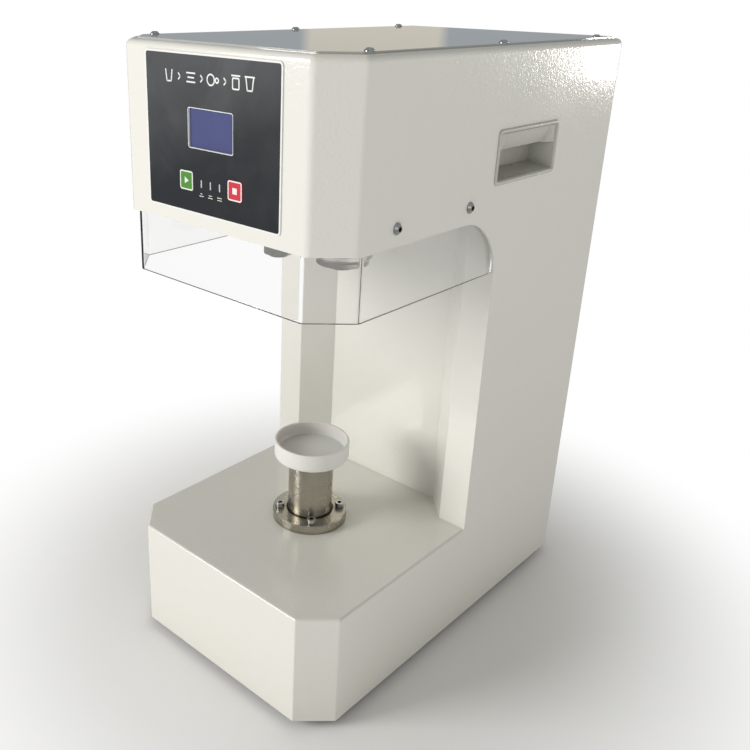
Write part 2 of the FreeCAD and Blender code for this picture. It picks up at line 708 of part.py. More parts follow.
def display_module():
    z = Z_PANEL_TOP - DISPLAY_CENTRE
    y_back = Y_FRONT + SHEET
    glass = display_window(-FIXED_GAP, Y_FRONT - PANEL_THICK * 0.35, y_back + 0.01)
    frame = box(-DISPLAY_WIDTH / 2 - 6, DISPLAY_WIDTH / 2 + 6, y_back, board_front(),
                z - DISPLAY_HEIGHT / 2 - 5, z + DISPLAY_HEIGHT / 2 + 5)
    return fused([glass, frame])


def front_key(side):
    """Key cap with a collar that the front panel traps and a stem towards the board's switch."""
    x = side * KEY_SPREAD
    z = Z_PANEL_TOP - KEY_CENTRE
    y_collar = Y_FRONT + SHEET + RUN_GAP
    cap = key_block(side, 0, Y_FRONT - KEY_PROUD, y_collar + 0.01)
    cap = rounded(cap, 0.35, lambda e: lies_at_y(e, Y_FRONT - KEY_PROUD))
    collar = key_block(side, 1.6, y_collar, y_collar + 1.6)
    y_stem = y_collar + 1.5
    y_tip = board_front() - KEY_SWITCH_DEPTH - KEY_TRAVEL - 0.1
    stem = bar(Vector(x, y_stem, z), Vector(0, 1, 0), y_tip - y_stem, 3)
    return fused([cap, collar, stem])


def indicator_lamps():
    return Part.makeCompound(lamp_blocks(0, Y_FRONT - PANEL_THICK, board_front()))


def control_board():
    """Circuit board on four posts, with the keys' switches, connectors and chips soldered on."""
    y = board_front()
    z_top = Z_PANEL_TOP - 12
    z_low = z_top - BOARD_HEIGHT
    half = BOARD_WIDTH / 2
    pieces = [box(-half, half, y, y + 1.6, z_low, z_top)]
    for side in (-1, 1):
        for z in (z_low + 5, z_top - 5):
            foot = Vector(side * (half - 5), Y_FRONT + SHEET, z)
            pieces.append(bar(foot, Vector(0, 1, 0), BOARD_STANDOFF + 0.01, 3))
        z_key = Z_PANEL_TOP - KEY_CENTRE
        x = side * KEY_SPREAD
        pieces.append(box(x - 4, x + 4, y - KEY_SWITCH_DEPTH, y + 0.01, z_key - 4, z_key + 4))
    for x, z, width, tall, deep in board_chips(z_low):
        pieces.append(box(x, x + width, y + 1.59, y + 1.6 + deep, z, z + tall))
    return fused(pieces)


def board_chips(z_low):
    """Connectors along the lower edge and a processor above them: x, z, width, height and depth."""
    sockets = [(-52 + i * 22, z_low + 4, 16, 8, 9) for i in range(5)]
    return sockets + [(-12, z_low + 36, 20, 20, 2.4), (24, z_low + 40, 12, 22, 14)]


def power_supply():
    """Switched supply in a slotted steel case, on the floor to the left of the lift."""
    x0 = -X_INSIDE + 8
    x1 = -LIFT_FRAME_HALF_WIDTH - 7
    z1 = Z_FLOOR + SUPPLY_HEIGHT
    case = box(x0, x1, Y_AXIS - SUPPLY_LENGTH / 2, Y_AXIS + SUPPLY_LENGTH / 2, Z_FLOOR, z1)
    for i in range(9):
        y = Y_AXIS + (i - 4) * SUPPLY_SLOT_PITCH
        case = case.cut(box(x0 + 12, x1 - 12, y - 2, y + 2, z1 - 2, z1 + 1))
    return case


def inlet_place():
    return INLET_X, Z_BOTTOM + INLET_HEIGHT


def socket_recess(x, z, y0, y1):
    """Opening of a three-pin mains socket: a rectangle with two corners cut off."""
    half, tall, cut = 12.0, 8.5, 4.5
    points = [(-half, -tall), (half, -tall), (half, tall - cut), (half - cut, tall), (cut - half, tall),
              (-half, tall - cut)]
    corners = [Vector(x + u, y0, z + v) for u, v in points]
    return Part.Face(Part.makePolygon(corners + corners[:1])).extrude(Vector(0, y1 - y0, 0))


def power_inlet():
    """Mains socket and switch frame in one moulding, clipped through the rear cover."""
    x, z = inlet_place()
    y_sheet = Y_REAR + COVER_SHEET
    flange = box(x - INLET_WIDTH / 2, x + INLET_WIDTH / 2, y_sheet, y_sheet + 2.5,
                 z - INLET_TALL / 2, z + INLET_TALL / 2)
    flange = rounded(flange, 2.5, runs_in_y)
    flange = rounded(flange, 0.8, lambda e: lies_at_y(e, y_sheet + 2.5))
    fit = 4 + FIXED_GAP
    body = box(x - INLET_WIDTH / 2 + fit, x + INLET_WIDTH / 2 - fit, y_sheet - 24, y_sheet + 0.01,
               z - INLET_TALL / 2 + fit, z + INLET_TALL / 2 - fit)
    inlet = fused([flange, body])
    z_socket = z - SOCKET_BELOW
    inlet = inlet.cut(socket_recess(x, z_socket, y_sheet - 16, y_sheet + 5))
    pins = [box(x + u - 1, x + u + 1, y_sheet - 16.01, y_sheet - 1, z_socket + v - 2, z_socket + v + 2)
            for u, v in ((-7, -2), (7, -2), (0, 2))]
    inlet = fused([inlet] + pins)
    z_switch = z + ROCKER_ABOVE
    half_tall = ROCKER_TALL / 2 + 1.3
    return inlet.cut(box(x - ROCKER_HALF - 0.4, x + ROCKER_HALF + 0.4, y_sheet - 14, y_sheet + 5,
                         z_switch - half_tall, z_switch + half_tall))


def power_switch():
    """Rocker of the mains switch, drawn in its off position."""
    x, z = inlet_place()
    z = z + ROCKER_ABOVE
    y = Y_REAR + COVER_SHEET - 3
    paddle = box(x - ROCKER_HALF, x + ROCKER_HALF, y - 5, y + 6.4, z - ROCKER_TALL / 2, z + ROCKER_TALL / 2)
    dish = bar(Vector(x - ROCKER_HALF - 1, y + 6.4 + 14.5, z), Vector(1, 0, 0), 2 * ROCKER_HALF + 2, 16)
    rocker = paddle.cut(dish)
    pin = bar(Vector(x - ROCKER_HALF - 0.3, y, z), Vector(1, 0, 0), 2 * ROCKER_HALF + 0.6, 1.5)
    rocker = fused([rocker, pin])
    rocker.rotate(Vector(x, y, z), Vector(1, 0, 0), -ROCKER_TILT)
    return rocker


# ---------------------------------------------------------------- frame
def head_plate():
    """Thick plate across the head that carries the spindle, both arms and the main motor."""
    inset = SHIELD_THICK + 0.15
    outline = shield_outline(inset)
    x_side = outline[0][0]
    y_back = Y_REAR - SHEET - 6
    outline = [(x_side, y_back)] + outline[1:5] + [(-x_side, y_back)]
    plate = prism(outline, Z_PLATE, Z_PLATE_TOP)
    plate = plate.cut(post(0, Y_AXIS, Z_PLATE - 1, Z_PLATE_TOP + 1, HOUSING_RADIUS + FIXED_GAP))
    plate = plate.cut(post(0, motor_y(), Z_PLATE - 1, Z_PLATE_TOP + 1, MOTOR_SHAFT_RADIUS + 3))
    for x, y in pivot_places():
        plate = plate.cut(post(x, y, Z_PLATE - 1, Z_PLATE_TOP + 1, PIVOT_RADIUS + ARM_BUSH_WALL + FIXED_GAP))
    for x, y in motor_screw_places() + housing_screw_places():
        plate = plate.cut(post(x, y, Z_PLATE - 1, Z_PLATE_TOP + 1, M6 + FIXED_GAP))
    z_screw = (Z_PLATE + Z_PLATE_TOP) / 2
    for setback in SIDE_SCREW_SETBACKS:
        for side in (-1, 1):
            x0 = side * (HALF_WIDTH - 16)
            start = Vector(x0, Y_FRONT + setback, z_screw)
            plate = plate.cut(bar(start, Vector(side, 0, 0), 30, M5 + FIXED_GAP))
    return plate


def spine_frame():
    """Folded channel from the floor to the head plate, with the lift motor's shelf welded across it."""
    half = SPINE_HALF_WIDTH
    y0 = Y_COLUMN + RECESS_DEPTH + SHEET + 5
    y1 = y0 + SPINE_WALL
    y2 = y0 + 110
    web = box(-half, half, y0, y1, Z_FLOOR, Z_PLATE)
    web = web.cut(box(-half + 30, half - 30, y0 - 1, y1 + 1, Z_FLOOR - 1, Z_FLOOR + 50))
    for i in range(2):
        z = Z_DECK + 60 + i * 130
        web = web.cut(box(-28, 28, y0 - 1, y1 + 1, z, z + 60))
    side = box(half - SPINE_WALL, half, y0, y2, Z_FLOOR, Z_PLATE)
    foot = box(half, half + 24, y0, y2, Z_FLOOR, Z_FLOOR + 5)
    z_shelf = shelf_z()
    shelf = box(-half, half, y1 - 0.01, y2, z_shelf - 4, z_shelf)
    shelf = shelf.cut(post(0, lift_motor_y(), z_shelf - 5, z_shelf + 1, 11))
    return fused([web, shelf] + both_sides(side) + both_sides(foot))


def shelf_z():
    return LIFT_PULLEY_Z + LIFT_PULLEY_THICK + 9


def lift_motor_y():
    return Y_FRONT + LIFT_MOTOR_SETBACK


def motor_y():
    return Y_FRONT + MOTOR_SETBACK


def rod_y():
    return Y_AXIS - ROD_OFFSET


def lift_frame():
    """Stand under the deck: a top plate for the guide, two legs and the lift screw's footing."""
    half_x = LIFT_FRAME_HALF_WIDTH
    y0 = Y_AXIS - LIFT_FRAME_HALF_DEPTH
    y1 = Y_AXIS + LIFT_FRAME_HALF_DEPTH
    z1 = Z_DECK - SHEET
    z_block = Z_FLOOR + SCREW_BLOCK_HEIGHT
    top = box(-half_x, half_x, y0, y1, z1 - LIFT_FRAME_TOP, z1)
    leg = box(half_x - LIFT_FRAME_LEG, half_x, y0, y1, Z_FLOOR, z1)
    floor = box(-half_x, half_x, y0, y1, Z_FLOOR, Z_FLOOR + 4)
    block = box(-28, 28, rod_y() - 12, Y_AXIS + 26, Z_FLOOR, z_block)
    frame = fused([top, floor, block] + both_sides(leg))
    frame = frame.cut(post(0, Y_AXIS, z1 - 20, z1 + 1, SPIGOT_RADIUS + FIXED_GAP))
    for x, y in flange_screw_places():
        frame = frame.cut(post(x, y, z1 - 20, z1 + 1, M5 + FIXED_GAP))
    frame = frame.cut(post(0, Y_AXIS, Z_FLOOR + 2, z_block + 1, SCREW_JOURNAL + RUN_GAP))
    frame = frame.cut(post(0, rod_y(), Z_FLOOR + 2, z_block + 1, ROD_RADIUS + FIXED_GAP))
    return frame.cut(post(0, rod_y(), z1 - 20, z1 - 2, ROD_RADIUS + FIXED_GAP))


# ---------------------------------------------------------------- lift
def deck_flange():
    """Turned ring on the deck that guides the lift tube, with a spigot down through it."""
    z0 = Z_DECK
    z1 = Z_DECK + FLANGE_THICK
    flange = post(0, Y_AXIS, z0, z1, FLANGE_RADIUS)
    flange = chamfered(flange, 0.8, lambda e: lies_at_z(e, z1))
    flange = flange.fuse(post(0, Y_AXIS, z0 - FLANGE_SPIGOT, z0 + 0.01, SPIGOT_RADIUS)).removeSplitter()
    flange = flange.cut(post(0, Y_AXIS, z0 - 50, z1 + 1, BUSH_RADIUS + FIXED_GAP))
    for x, y in flange_screw_places():
        flange = flange.cut(post(x, y, z0 - 5, z1 + 5, M5 + FIXED_GAP))
    return flange


def ring(x, y, z0, z1, outer, inner):
    return post(x, y, z0, z1, outer).cut(post(x, y, z0 - 1, z1 + 1, inner))


def guide_bush():
    return ring(0, Y_AXIS, Z_DECK - FLANGE_SPIGOT, Z_DECK + FLANGE_THICK, BUSH_RADIUS, TUBE_RADIUS + RUN_GAP)


def tray_bottom():
    return Z_DECK + TRAY_RIM - TRAY_HEIGHT


def tube_top():
    return tray_bottom() - FACE_GAP


def tube_bottom():
    return Z_DECK - TUBE_BELOW_DECK


def bearing_floor():
    """Ledge in the tube that the lower tray bearing stands on."""
    return tube_top() - 4 - 3.4 * TRAY_BEARING_THICK


def lift_tube():
    tube = post(0, Y_AXIS, tube_bottom(), tube_top(), TUBE_RADIUS)
    tube = chamfered(tube, 0.5, lambda e: lies_at_z(e, tube_top()))
    tube = tube.cut(post(0, Y_AXIS, tube_bottom() - 1, tube_top() + 1, TUBE_RADIUS - TUBE_WALL))
    return tube.cut(post(0, Y_AXIS, bearing_floor(), tube_top() + 1, TRAY_BEARING_RADIUS + FIXED_GAP))


def tray_bearings():
    """Two ball bearings and the ring between them."""
    z0 = bearing_floor()
    z1 = z0 + TRAY_BEARING_THICK
    z3 = tube_top() - 4
    z2 = z3 - TRAY_BEARING_THICK
    inner = TRAY_SHAFT_RADIUS + FIXED_GAP
    return Part.makeCompound([
        ring(0, Y_AXIS, z0, z1, TRAY_BEARING_RADIUS, inner),
        ring(0, Y_AXIS, z1, z2, TRAY_BEARING_RADIUS, TRAY_BEARING_RADIUS - 3),
        ring(0, Y_AXIS, z2, z3, TRAY_BEARING_RADIUS, inner)])


def tray_spindle():
    """Shaft in the tray bearings, with a stud on top that screws into the tray's floor from below."""
    z_low = bearing_floor()
    z_top = tray_bottom()
    journal = TRAY_SHAFT_RADIUS - 0.04
    shoulder = tube_top() - 4 + 0.05
    return turned([(0, z_low), (journal, z_low), (journal, shoulder), (11, shoulder), (11, z_top - 2.5),
                   (TRAY_BEARING_RADIUS - 1, z_top - 2.5), (TRAY_BEARING_RADIUS - 1, z_top), (M6, z_top),
                   (M6, z_top + TRAY_STUD), (0, z_top + TRAY_STUD)], 0, Y_AXIS)


def tray():
    """Plastic nest that the can stands in."""
    z0 = tray_bottom()
    z1 = z0 + TRAY_HEIGHT
    floor = z0 + TRAY_FLOOR
    cup = post(0, Y_AXIS, z0, z1, TRAY_RADIUS)
    cup = rounded(cup, 3.0, lambda e: lies_at_z(e, z0))
    cup = rounded(cup, 0.9, lambda e: lies_at_z(e, z1))
    well = post(0, Y_AXIS, floor, z1 + 5, TRAY_RADIUS - TRAY_WALL)
    well = rounded(well, 1.5, lambda e: lies_at_z(e, floor))
    cup = cup.cut(well)
    cup = rounded(cup, 0.6, lambda e: lies_at_z(e, z1) and near(e.BoundBox.XMax, TRAY_RADIUS - TRAY_WALL))
    return cup.cut(post(0, Y_AXIS, z0 - 1, z0 + TRAY_STUD + 0.1, M6 + FIXED_GAP))


def lift_nut():
    """Flanged nut under the tube, with the arm that stops it turning on the guide rod."""
    z1 = tube_bottom()
    z0 = z1 - NUT_FLANGE
    nut = [post(0, Y_AXIS, z0, z1, TUBE_RADIUS),
           post(0, Y_AXIS, z1 - 0.01, z0 + NUT_LENGTH, TUBE_RADIUS - TUBE_WALL - FIXED_GAP),
           box(-9, 9, rod_y(), Y_AXIS, z0, z1), post(0, rod_y(), z0, z1, 9)]
    nut = fused(nut).cut(post(0, Y_AXIS, z0 - 1, z1 + 40, SCREW_RADIUS + RUN_GAP))
    return nut.cut(post(0, rod_y(), z0 - 1, z1 + 1, ROD_RADIUS + RUN_GAP))


def guide_rod():
    return post(0, rod_y(), Z_FLOOR + 2, Z_DECK - SHEET - 2, ROD_RADIUS)


def lift_screw():
    z_low = Z_FLOOR + 2.5
    z_shoulder = LIFT_PULLEY_Z + LIFT_PULLEY_THICK
    z_top = tube_bottom() - NUT_FLANGE + NUT_LENGTH + LIFT_STROKE + SCREW_OVERRUN
    screw = fused([post(0, Y_AXIS, z_low, z_shoulder + 0.01, SCREW_JOURNAL),
                   post(0, Y_AXIS, z_shoulder, z_top, SCREW_RADIUS)])
    return chamfered(screw, 1.0, lambda e: lies_at_z(e, z_top))


def pulley(x, y, z0, thick, radius, bore):
    """Flat-belt pulley with a thin rim above and below."""
    rim = 1.5
    wheel = fused([post(x, y, z0, z0 + thick, radius), post(x, y, z0, z0 + rim, radius + PULLEY_RIM + 1),
                   post(x, y, z0 + thick - rim, z0 + thick, radius + PULLEY_RIM + 1)])
    return wheel.cut(post(x, y, z0 - 1, z0 + thick + 1, bore)) if bore else wheel


def screw_pulley():
    return pulley(0, Y_AXIS, LIFT_PULLEY_Z, LIFT_PULLEY_THICK, LIFT_PULLEY_RADIUS, SCREW_JOURNAL + FIXED_GAP)


def lift_motor_pulley():
    """Small pulley with the gear motor's shaft."""
    z1 = LIFT_PULLEY_Z + LIFT_PULLEY_THICK
    wheel = pulley(0, lift_motor_y(), LIFT_PULLEY_Z, LIFT_PULLEY_THICK, LIFT_MOTOR_PULLEY_RADIUS, 0)
    return fused([wheel, post(0, lift_motor_y(), z1 - 0.01, shelf_z() + 6, 4)])


def belt(y0, r0, y1, r1, z0, z1, thick):
    """Closed belt round two pulleys on the middle plane, a running gap clear of both."""
    def loop(extra):
        a = r0 + BELT_GAP + extra
        b = r1 + BELT_GAP + extra
        sine = (a - b) / (y1 - y0)
        cosine = math.sqrt(1 - sine * sine)
        points = [Vector(cosine * a, y0 + sine * a, z0), Vector(cosine * b, y1 + sine * b, z0),
                  Vector(-cosine * b, y1 + sine * b, z0), Vector(-cosine * a, y0 + sine * a, z0)]
        edges = [Part.LineSegment(points[0], points[1]),
                 Part.Arc(points[1], Vector(0, y1 + b, z0), points[2]),
                 Part.LineSegment(points[2], points[3]),
                 Part.Arc(points[3], Vector(0, y0 - a, z0), points[0])]
        return Part.Face(Part.Wire([e.toShape() for e in edges])).extrude(Vector(0, 0, z1 - z0))
    return loop(thick).cut(loop(0))


def lift_belt():
    z0 = LIFT_PULLEY_Z + 1.5 + FACE_GAP
    z1 = LIFT_PULLEY_Z + LIFT_PULLEY_THICK - 1.5 - FACE_GAP
    return belt(Y_AXIS, LIFT_PULLEY_RADIUS, lift_motor_y(), LIFT_MOTOR_PULLEY_RADIUS, z0, z1, LIFT_BELT_THICK)


def lift_motor():
    """Upright gear motor on the spine's shelf, shaft down."""
    y = lift_motor_y()
    z0 = shelf_z()
    z1 = z0 + LIFT_MOTOR_LENGTH
    motor = fused([post(0, y, z0, z0 + 34, LIFT_MOTOR_RADIUS),
                   post(0, y, z0 + 34, z1 - 6, LIFT_MOTOR_RADIUS - 3),
                   post(0, y, z1 - 6.01, z1, 12)])
    motor = motor.cut(post(0, y, z0 - 1, z0 + 6.3, 4 + RUN_GAP))
    return rounded(motor, 1.5, lambda e: lies_at_z(e, z1 - 6))


# ---------------------------------------------------------------- head drive
def housing_screw_places():
    reach = (HOUSING_RADIUS + HOUSING_FLANGE_RADIUS) / 2 / math.sqrt(2)
    return [(sx * reach, Y_AXIS + sy * reach) for sx in (-1, 1) for sy in (-1, 1)]


def motor_screw_places():
    reach = (MAIN_MOTOR_RADIUS - 10) / math.sqrt(2)
    return [(sx * reach, motor_y() + sy * reach) for sx in (-1, 1) for sy in (-1, 1)]


def plate_screws():
    """Cap screws of the bearing housing and of the main motor, all the same size."""
    screw = cap_screw(M6, 5, 6, 18)
    housing = [placed(screw, (x, y, Z_PLATE_TOP + HOUSING_FLANGE_THICK)) for x, y in housing_screw_places()]
    motor = [placed(screw, (x, y, Z_PLATE_TOP)) for x, y in motor_screw_places()]
    return Part.makeCompound(housing + motor)


def housing_bottom():
    return Z_PLATE - HOUSING_DROP


def housing_top():
    return Z_PLATE_TOP + HOUSING_RISE


def bearing_housing():
    z0 = housing_bottom()
    z1 = housing_top()
    body = fused([post(0, Y_AXIS, z0, z1, HOUSING_RADIUS),
                  post(0, Y_AXIS, Z_PLATE_TOP, Z_PLATE_TOP + HOUSING_FLANGE_THICK, HOUSING_FLANGE_RADIUS)])
    body = body.cut(post(0, Y_AXIS, z0 + HOUSING_LIP, z1 + 1, BEARING_RADIUS + FIXED_GAP))
    body = body.cut(post(0, Y_AXIS, z0 - 1, z0 + 5, BEARING_RADIUS - 4))
    for x, y in housing_screw_places():
        body = body.cut(post(x, y, Z_PLATE_TOP - 1, Z_PLATE_TOP + 20, M6 + FIXED_GAP))
    return chamfered(body, 1.0, lambda e: lies_at_z(e, z0) and near(e.BoundBox.XMax, HOUSING_RADIUS))


def spindle_bearings():
    """Two ball bearings and the ring between them."""
    z0 = housing_bottom() + HOUSING_LIP
    z3 = housing_top() - 2
    z1 = z0 + BEARING_THICK
    z2 = z3 - BEARING_THICK
    inner = SPINDLE_RADIUS + FIXED_GAP
    return Part.makeCompound([
        ring(0, Y_AXIS, z0, z1, BEARING_RADIUS, inner),
        ring(0, Y_AXIS, z1, z2, BEARING_RADIUS, BEARING_RADIUS - 4),
        ring(0, Y_AXIS, z2, z3, BEARING_RADIUS, inner)])


def pulley_z():
    return Z_PLATE_TOP + PULLEY_RISE


def chuck_bottom():
    return Z_HEAD - CHUCK_BOTTOM


def spindle():
    """Shaft with a shoulder under its lower bearing, a nose for the chuck and a collar under the pulley."""
    z_nose = chuck_bottom() + 6
    z_face = chuck_bottom() + CHUCK_HEIGHT
    z_bearing = housing_bottom() + HOUSING_LIP
    z_top = pulley_z() + PULLEY_THICK
    journal = SPINDLE_RADIUS - 0.03
    z_collar = housing_top() + 1
    shaft = turned([(0, z_nose), (NOSE_RADIUS, z_nose), (NOSE_RADIUS, z_face), (SPINDLE_COLLAR, z_face),
                    (SPINDLE_COLLAR, z_bearing - 0.05), (journal, z_bearing - 0.05), (journal, z_collar),
                    (SPINDLE_COLLAR, z_collar), (SPINDLE_COLLAR, pulley_z()), (journal, pulley_z()),
                    (journal, z_top + 4), (0, z_top + 4)], 0, Y_AXIS)
    return shaft.cut(post(0, Y_AXIS, z_nose - 1, z_nose + 10, M5 + FIXED_GAP))


def spindle_pulley():
    bore = SPINDLE_RADIUS - 0.03 + FIXED_GAP
    return pulley(0, Y_AXIS, pulley_z(), PULLEY_THICK, SPINDLE_PULLEY_RADIUS, bore)


def chuck():
    """Hardened disc that enters the lid: a thin lip below a wider flange."""
    z0 = chuck_bottom()
    z_lip = z0 + CHUCK_LIP
    z1 = z0 + CHUCK_HEIGHT
    disc = turned([(0, z0), (CHUCK_LIP_RADIUS - 1, z0), (CHUCK_LIP_RADIUS, z0 + 1),
                   (CHUCK_LIP_RADIUS, z_lip), (CHUCK_RADIUS, z_lip), (CHUCK_RADIUS, z1 - 1),
                   (CHUCK_RADIUS - 1, z1), (0, z1)], 0, Y_AXIS)
    disc = disc.cut(post(0, Y_AXIS, z0 + 6, z1 + 1, NOSE_RADIUS + FIXED_GAP))
    disc = disc.cut(post(0, Y_AXIS, z0 - 1, z0 + 7, M5 + FIXED_GAP))
    return disc.cut(post(0, Y_AXIS, z0 - 1, z0 + 4, 5))


def chuck_screw():
    screw = cap_screw(M5, 4.3, 3.2, 10)
    return placed(screw, (0, Y_AXIS, chuck_bottom() + 4), Vector(1, 0, 0), 180)


def motor_pulley():
    """Pulley with the main motor's shaft."""
    y = motor_y()
    z1 = pulley_z() + PULLEY_THICK
    wheel = pulley(0, y, pulley_z(), PULLEY_THICK, MOTOR_PULLEY_RADIUS, 0)
    return fused([wheel, post(0, y, Z_PLATE - 12, pulley_z() + 0.01, MOTOR_SHAFT_RADIUS),
                  post(0, y, z1 - 0.01, z1 + 3, MOTOR_SHAFT_RADIUS)])


def main_motor():
    """Upright induction motor hung under the head plate: square flange, finned body and fan cover."""
    y = motor_y()
    z1 = Z_PLATE
    z0 = z1 - MAIN_MOTOR_LENGTH
    half = MAIN_MOTOR_RADIUS - 4
    flange = box(-half, half, y - half, y + half, z1 - 10, z1)
    flange = rounded(flange, 12, is_upright)
    body = [flange, post(0, y, z0 + 34, z1 - 5, MAIN_MOTOR_RADIUS - 6),
            post(0, y, z0, z0 + 34.01, MAIN_MOTOR_RADIUS)]
    for i in range(20):
        fin = box(MAIN_MOTOR_RADIUS - 8, MAIN_MOTOR_RADIUS - 1, -1, 1, z0 + 33, z1 - 14)
        fin.rotate(Vector(0, 0, 0), Vector(0, 0, 1), i * 18)
        fin.translate(Vector(0, y, 0))
        body.append(fin)
    motor = fused(body)
    motor = motor.cut(post(0, y, z1 - 12.3, z1 + 1, MOTOR_SHAFT_RADIUS + RUN_GAP))
    for x, y_screw in motor_screw_places():
        motor = motor.cut(post(x, y_screw, z1 - 8, z1 + 1, M6 + FIXED_GAP))
    return rounded(motor, 4, lambda e: lies_at_z(e, z0))


def drive_belt():
    z0 = pulley_z() + 1.5 + FACE_GAP
    z1 = pulley_z() + PULLEY_THICK - 1.5 - FACE_GAP
    return belt(Y_AXIS, SPINDLE_PULLEY_RADIUS, motor_y(), MOTOR_PULLEY_RADIUS, z0, z1, BELT_THICK)


# ---------------------------------------------------------------- seaming rollers
def pivot_places():
    return [(side * PIVOT_SPREAD, Y_AXIS + PIVOT_BEHIND) for side in (-1, 1)]


def roller_place(side):
    x, y = ROLLER_RIGHT if side > 0 else ROLLER_LEFT
    return x, Y_AXIS + y


def arm_z():
    return Z_HEAD - ARM_BOTTOM


def roller_arm(side):
    """Arm with its own pivot shaft, which rises through the head plate to the gear motor above."""
    px, py = pivot_places()[0 if side < 0 else 1]
    rx, ry = roller_place(side)
    z0 = arm_z()
    z1 = z0 + ARM_THICK
    length = math.hypot(rx - px, ry - py)
    across = Vector(-(ry - py) / length, (rx - px) / length, 0)
    outline = []
    for x, y, reach in ((px, py, ARM_PIVOT_END_RADIUS), (rx, ry, ARM_END_RADIUS),
                        (rx, ry, -ARM_END_RADIUS), (px, py, -ARM_PIVOT_END_RADIUS)):
        outline.append((x + across.x * reach, y + across.y * reach))
    arm = fused([prism(outline, z0, z1), post(px, py, z0, z1, ARM_PIVOT_END_RADIUS),
                 post(rx, ry, z0, z1, ARM_END_RADIUS)])
    z_flange = Z_PLATE - ARM_BUSH_FLANGE
    shaft = [post(px, py, z1 - 0.01, z_flange - FACE_GAP, PIVOT_RADIUS + 3),
             post(px, py, z1 - 0.01, Z_PLATE_TOP + 14, PIVOT_RADIUS),
             post(px, py, Z_PLATE_TOP + 13.9, Z_PLATE_TOP + SEAM_BRIDGE_HEIGHT + 4, 5)]
    arm = fused([arm] + shaft)
    return arm.cut(post(rx, ry, z0 - 1, z1 + 1, ROLLER_PIN_RADIUS + FIXED_GAP))


def roller_pin(side):
    """Shouldered pin that hangs the roller under the arm's end."""
    x, y = roller_place(side)
    z1 = arm_z() + ARM_THICK
    z_low = hub_bottom(side) - FACE_GAP
    return fused([post(x, y, z_low, z1, ROLLER_PIN_RADIUS),
                  post(x, y, z1, z1 + 1.5, ROLLER_PIN_RADIUS + 2),
                  post(x, y, z_low - 2.2, z_low + 0.01, ROLLER_PIN_HEAD)])


def roller_top():
    return Z_HEAD - ROLLER_TOP


def hub_bottom(side):
    hub = ROLLER_HUB_RIGHT if side > 0 else ROLLER_HUB_LEFT
    return roller_top() - ROLLER_THICK - hub


def roller(side):
    """Hardened seaming roller; its groove near the top rolls the rim of the lid."""
    x, y = roller_place(side)
    z1 = roller_top()
    z0 = z1 - ROLLER_THICK
    z_hub = hub_bottom(side)
    z_boss = arm_z() - FACE_GAP
    bore = ROLLER_PIN_RADIUS + RUN_GAP
    boss = ROLLER_PIN_RADIUS + 3.5
    rim = ROLLER_RADIUS
    step = rim - 2.5
    groove = rim - (1.5 if side < 0 else 1.0)
    profile = [(bore, z_hub), (ROLLER_HUB_RADIUS - 1, z_hub), (ROLLER_HUB_RADIUS, z_hub + 1),
               (ROLLER_HUB_RADIUS, z0), (step, z0), (step, z0 + 4), (rim, z0 + 6.5), (rim, z1 - 6),
               (groove, z1 - 5), (groove, z1 - 2.5), (rim, z1 - 1.6), (rim, z1 - 0.6), (rim - 0.6, z1),
               (boss, z1), (boss, z_boss), (bore, z_boss)]
    return turned(profile, x, y)


def arm_bushes():
    shapes = []
    for x, y in pivot_places():
        outer = PIVOT_RADIUS + ARM_BUSH_WALL
        z0 = Z_PLATE - ARM_BUSH_FLANGE
        bush = fused([post(x, y, z0, Z_PLATE_TOP, outer), post(x, y, z0, Z_PLATE, outer + 4)])
        shapes.append(bush.cut(post(x, y, Z_PLATE - 9, Z_PLATE_TOP + 1, PIVOT_RADIUS + RUN_GAP)))
    return Part.makeCompound(shapes)


def seaming_motor_bridges():
    """Two-legged brackets on the head plate that carry the arms' gear motors."""
    shapes = []
    half = 21.0
    z1 = Z_PLATE_TOP + SEAM_BRIDGE_HEIGHT
    for x, y in pivot_places():
        bridge = fused([box(x - half, x + half, y - half, y + half, z1 - 4, z1)]
                       + [box(x - half, x + half, y + s * (half - 1.5) - 1.5, y + s * (half - 1.5) + 1.5,
                              Z_PLATE_TOP, z1) for s in (-1, 1)])
        shapes.append(bridge.cut(post(x, y, z1 - 5, z1 + 1, 8)))
    return Part.makeCompound(shapes)


def seaming_motors():
    shapes = []
    z0 = Z_PLATE_TOP + SEAM_BRIDGE_HEIGHT
    z1 = z0 + SEAM_MOTOR_LENGTH
    for x, y in pivot_places():
        motor = fused([post(x, y, z0, z0 + 26, SEAM_MOTOR_RADIUS),
                       post(x, y, z0 + 25.9, z1, SEAM_MOTOR_RADIUS - 1.5)])
        shapes.append(motor.cut(post(x, y, z0 - 1, z0 + 4.3, 5 + RUN_GAP)))
    return Part.makeCompound(shapes)


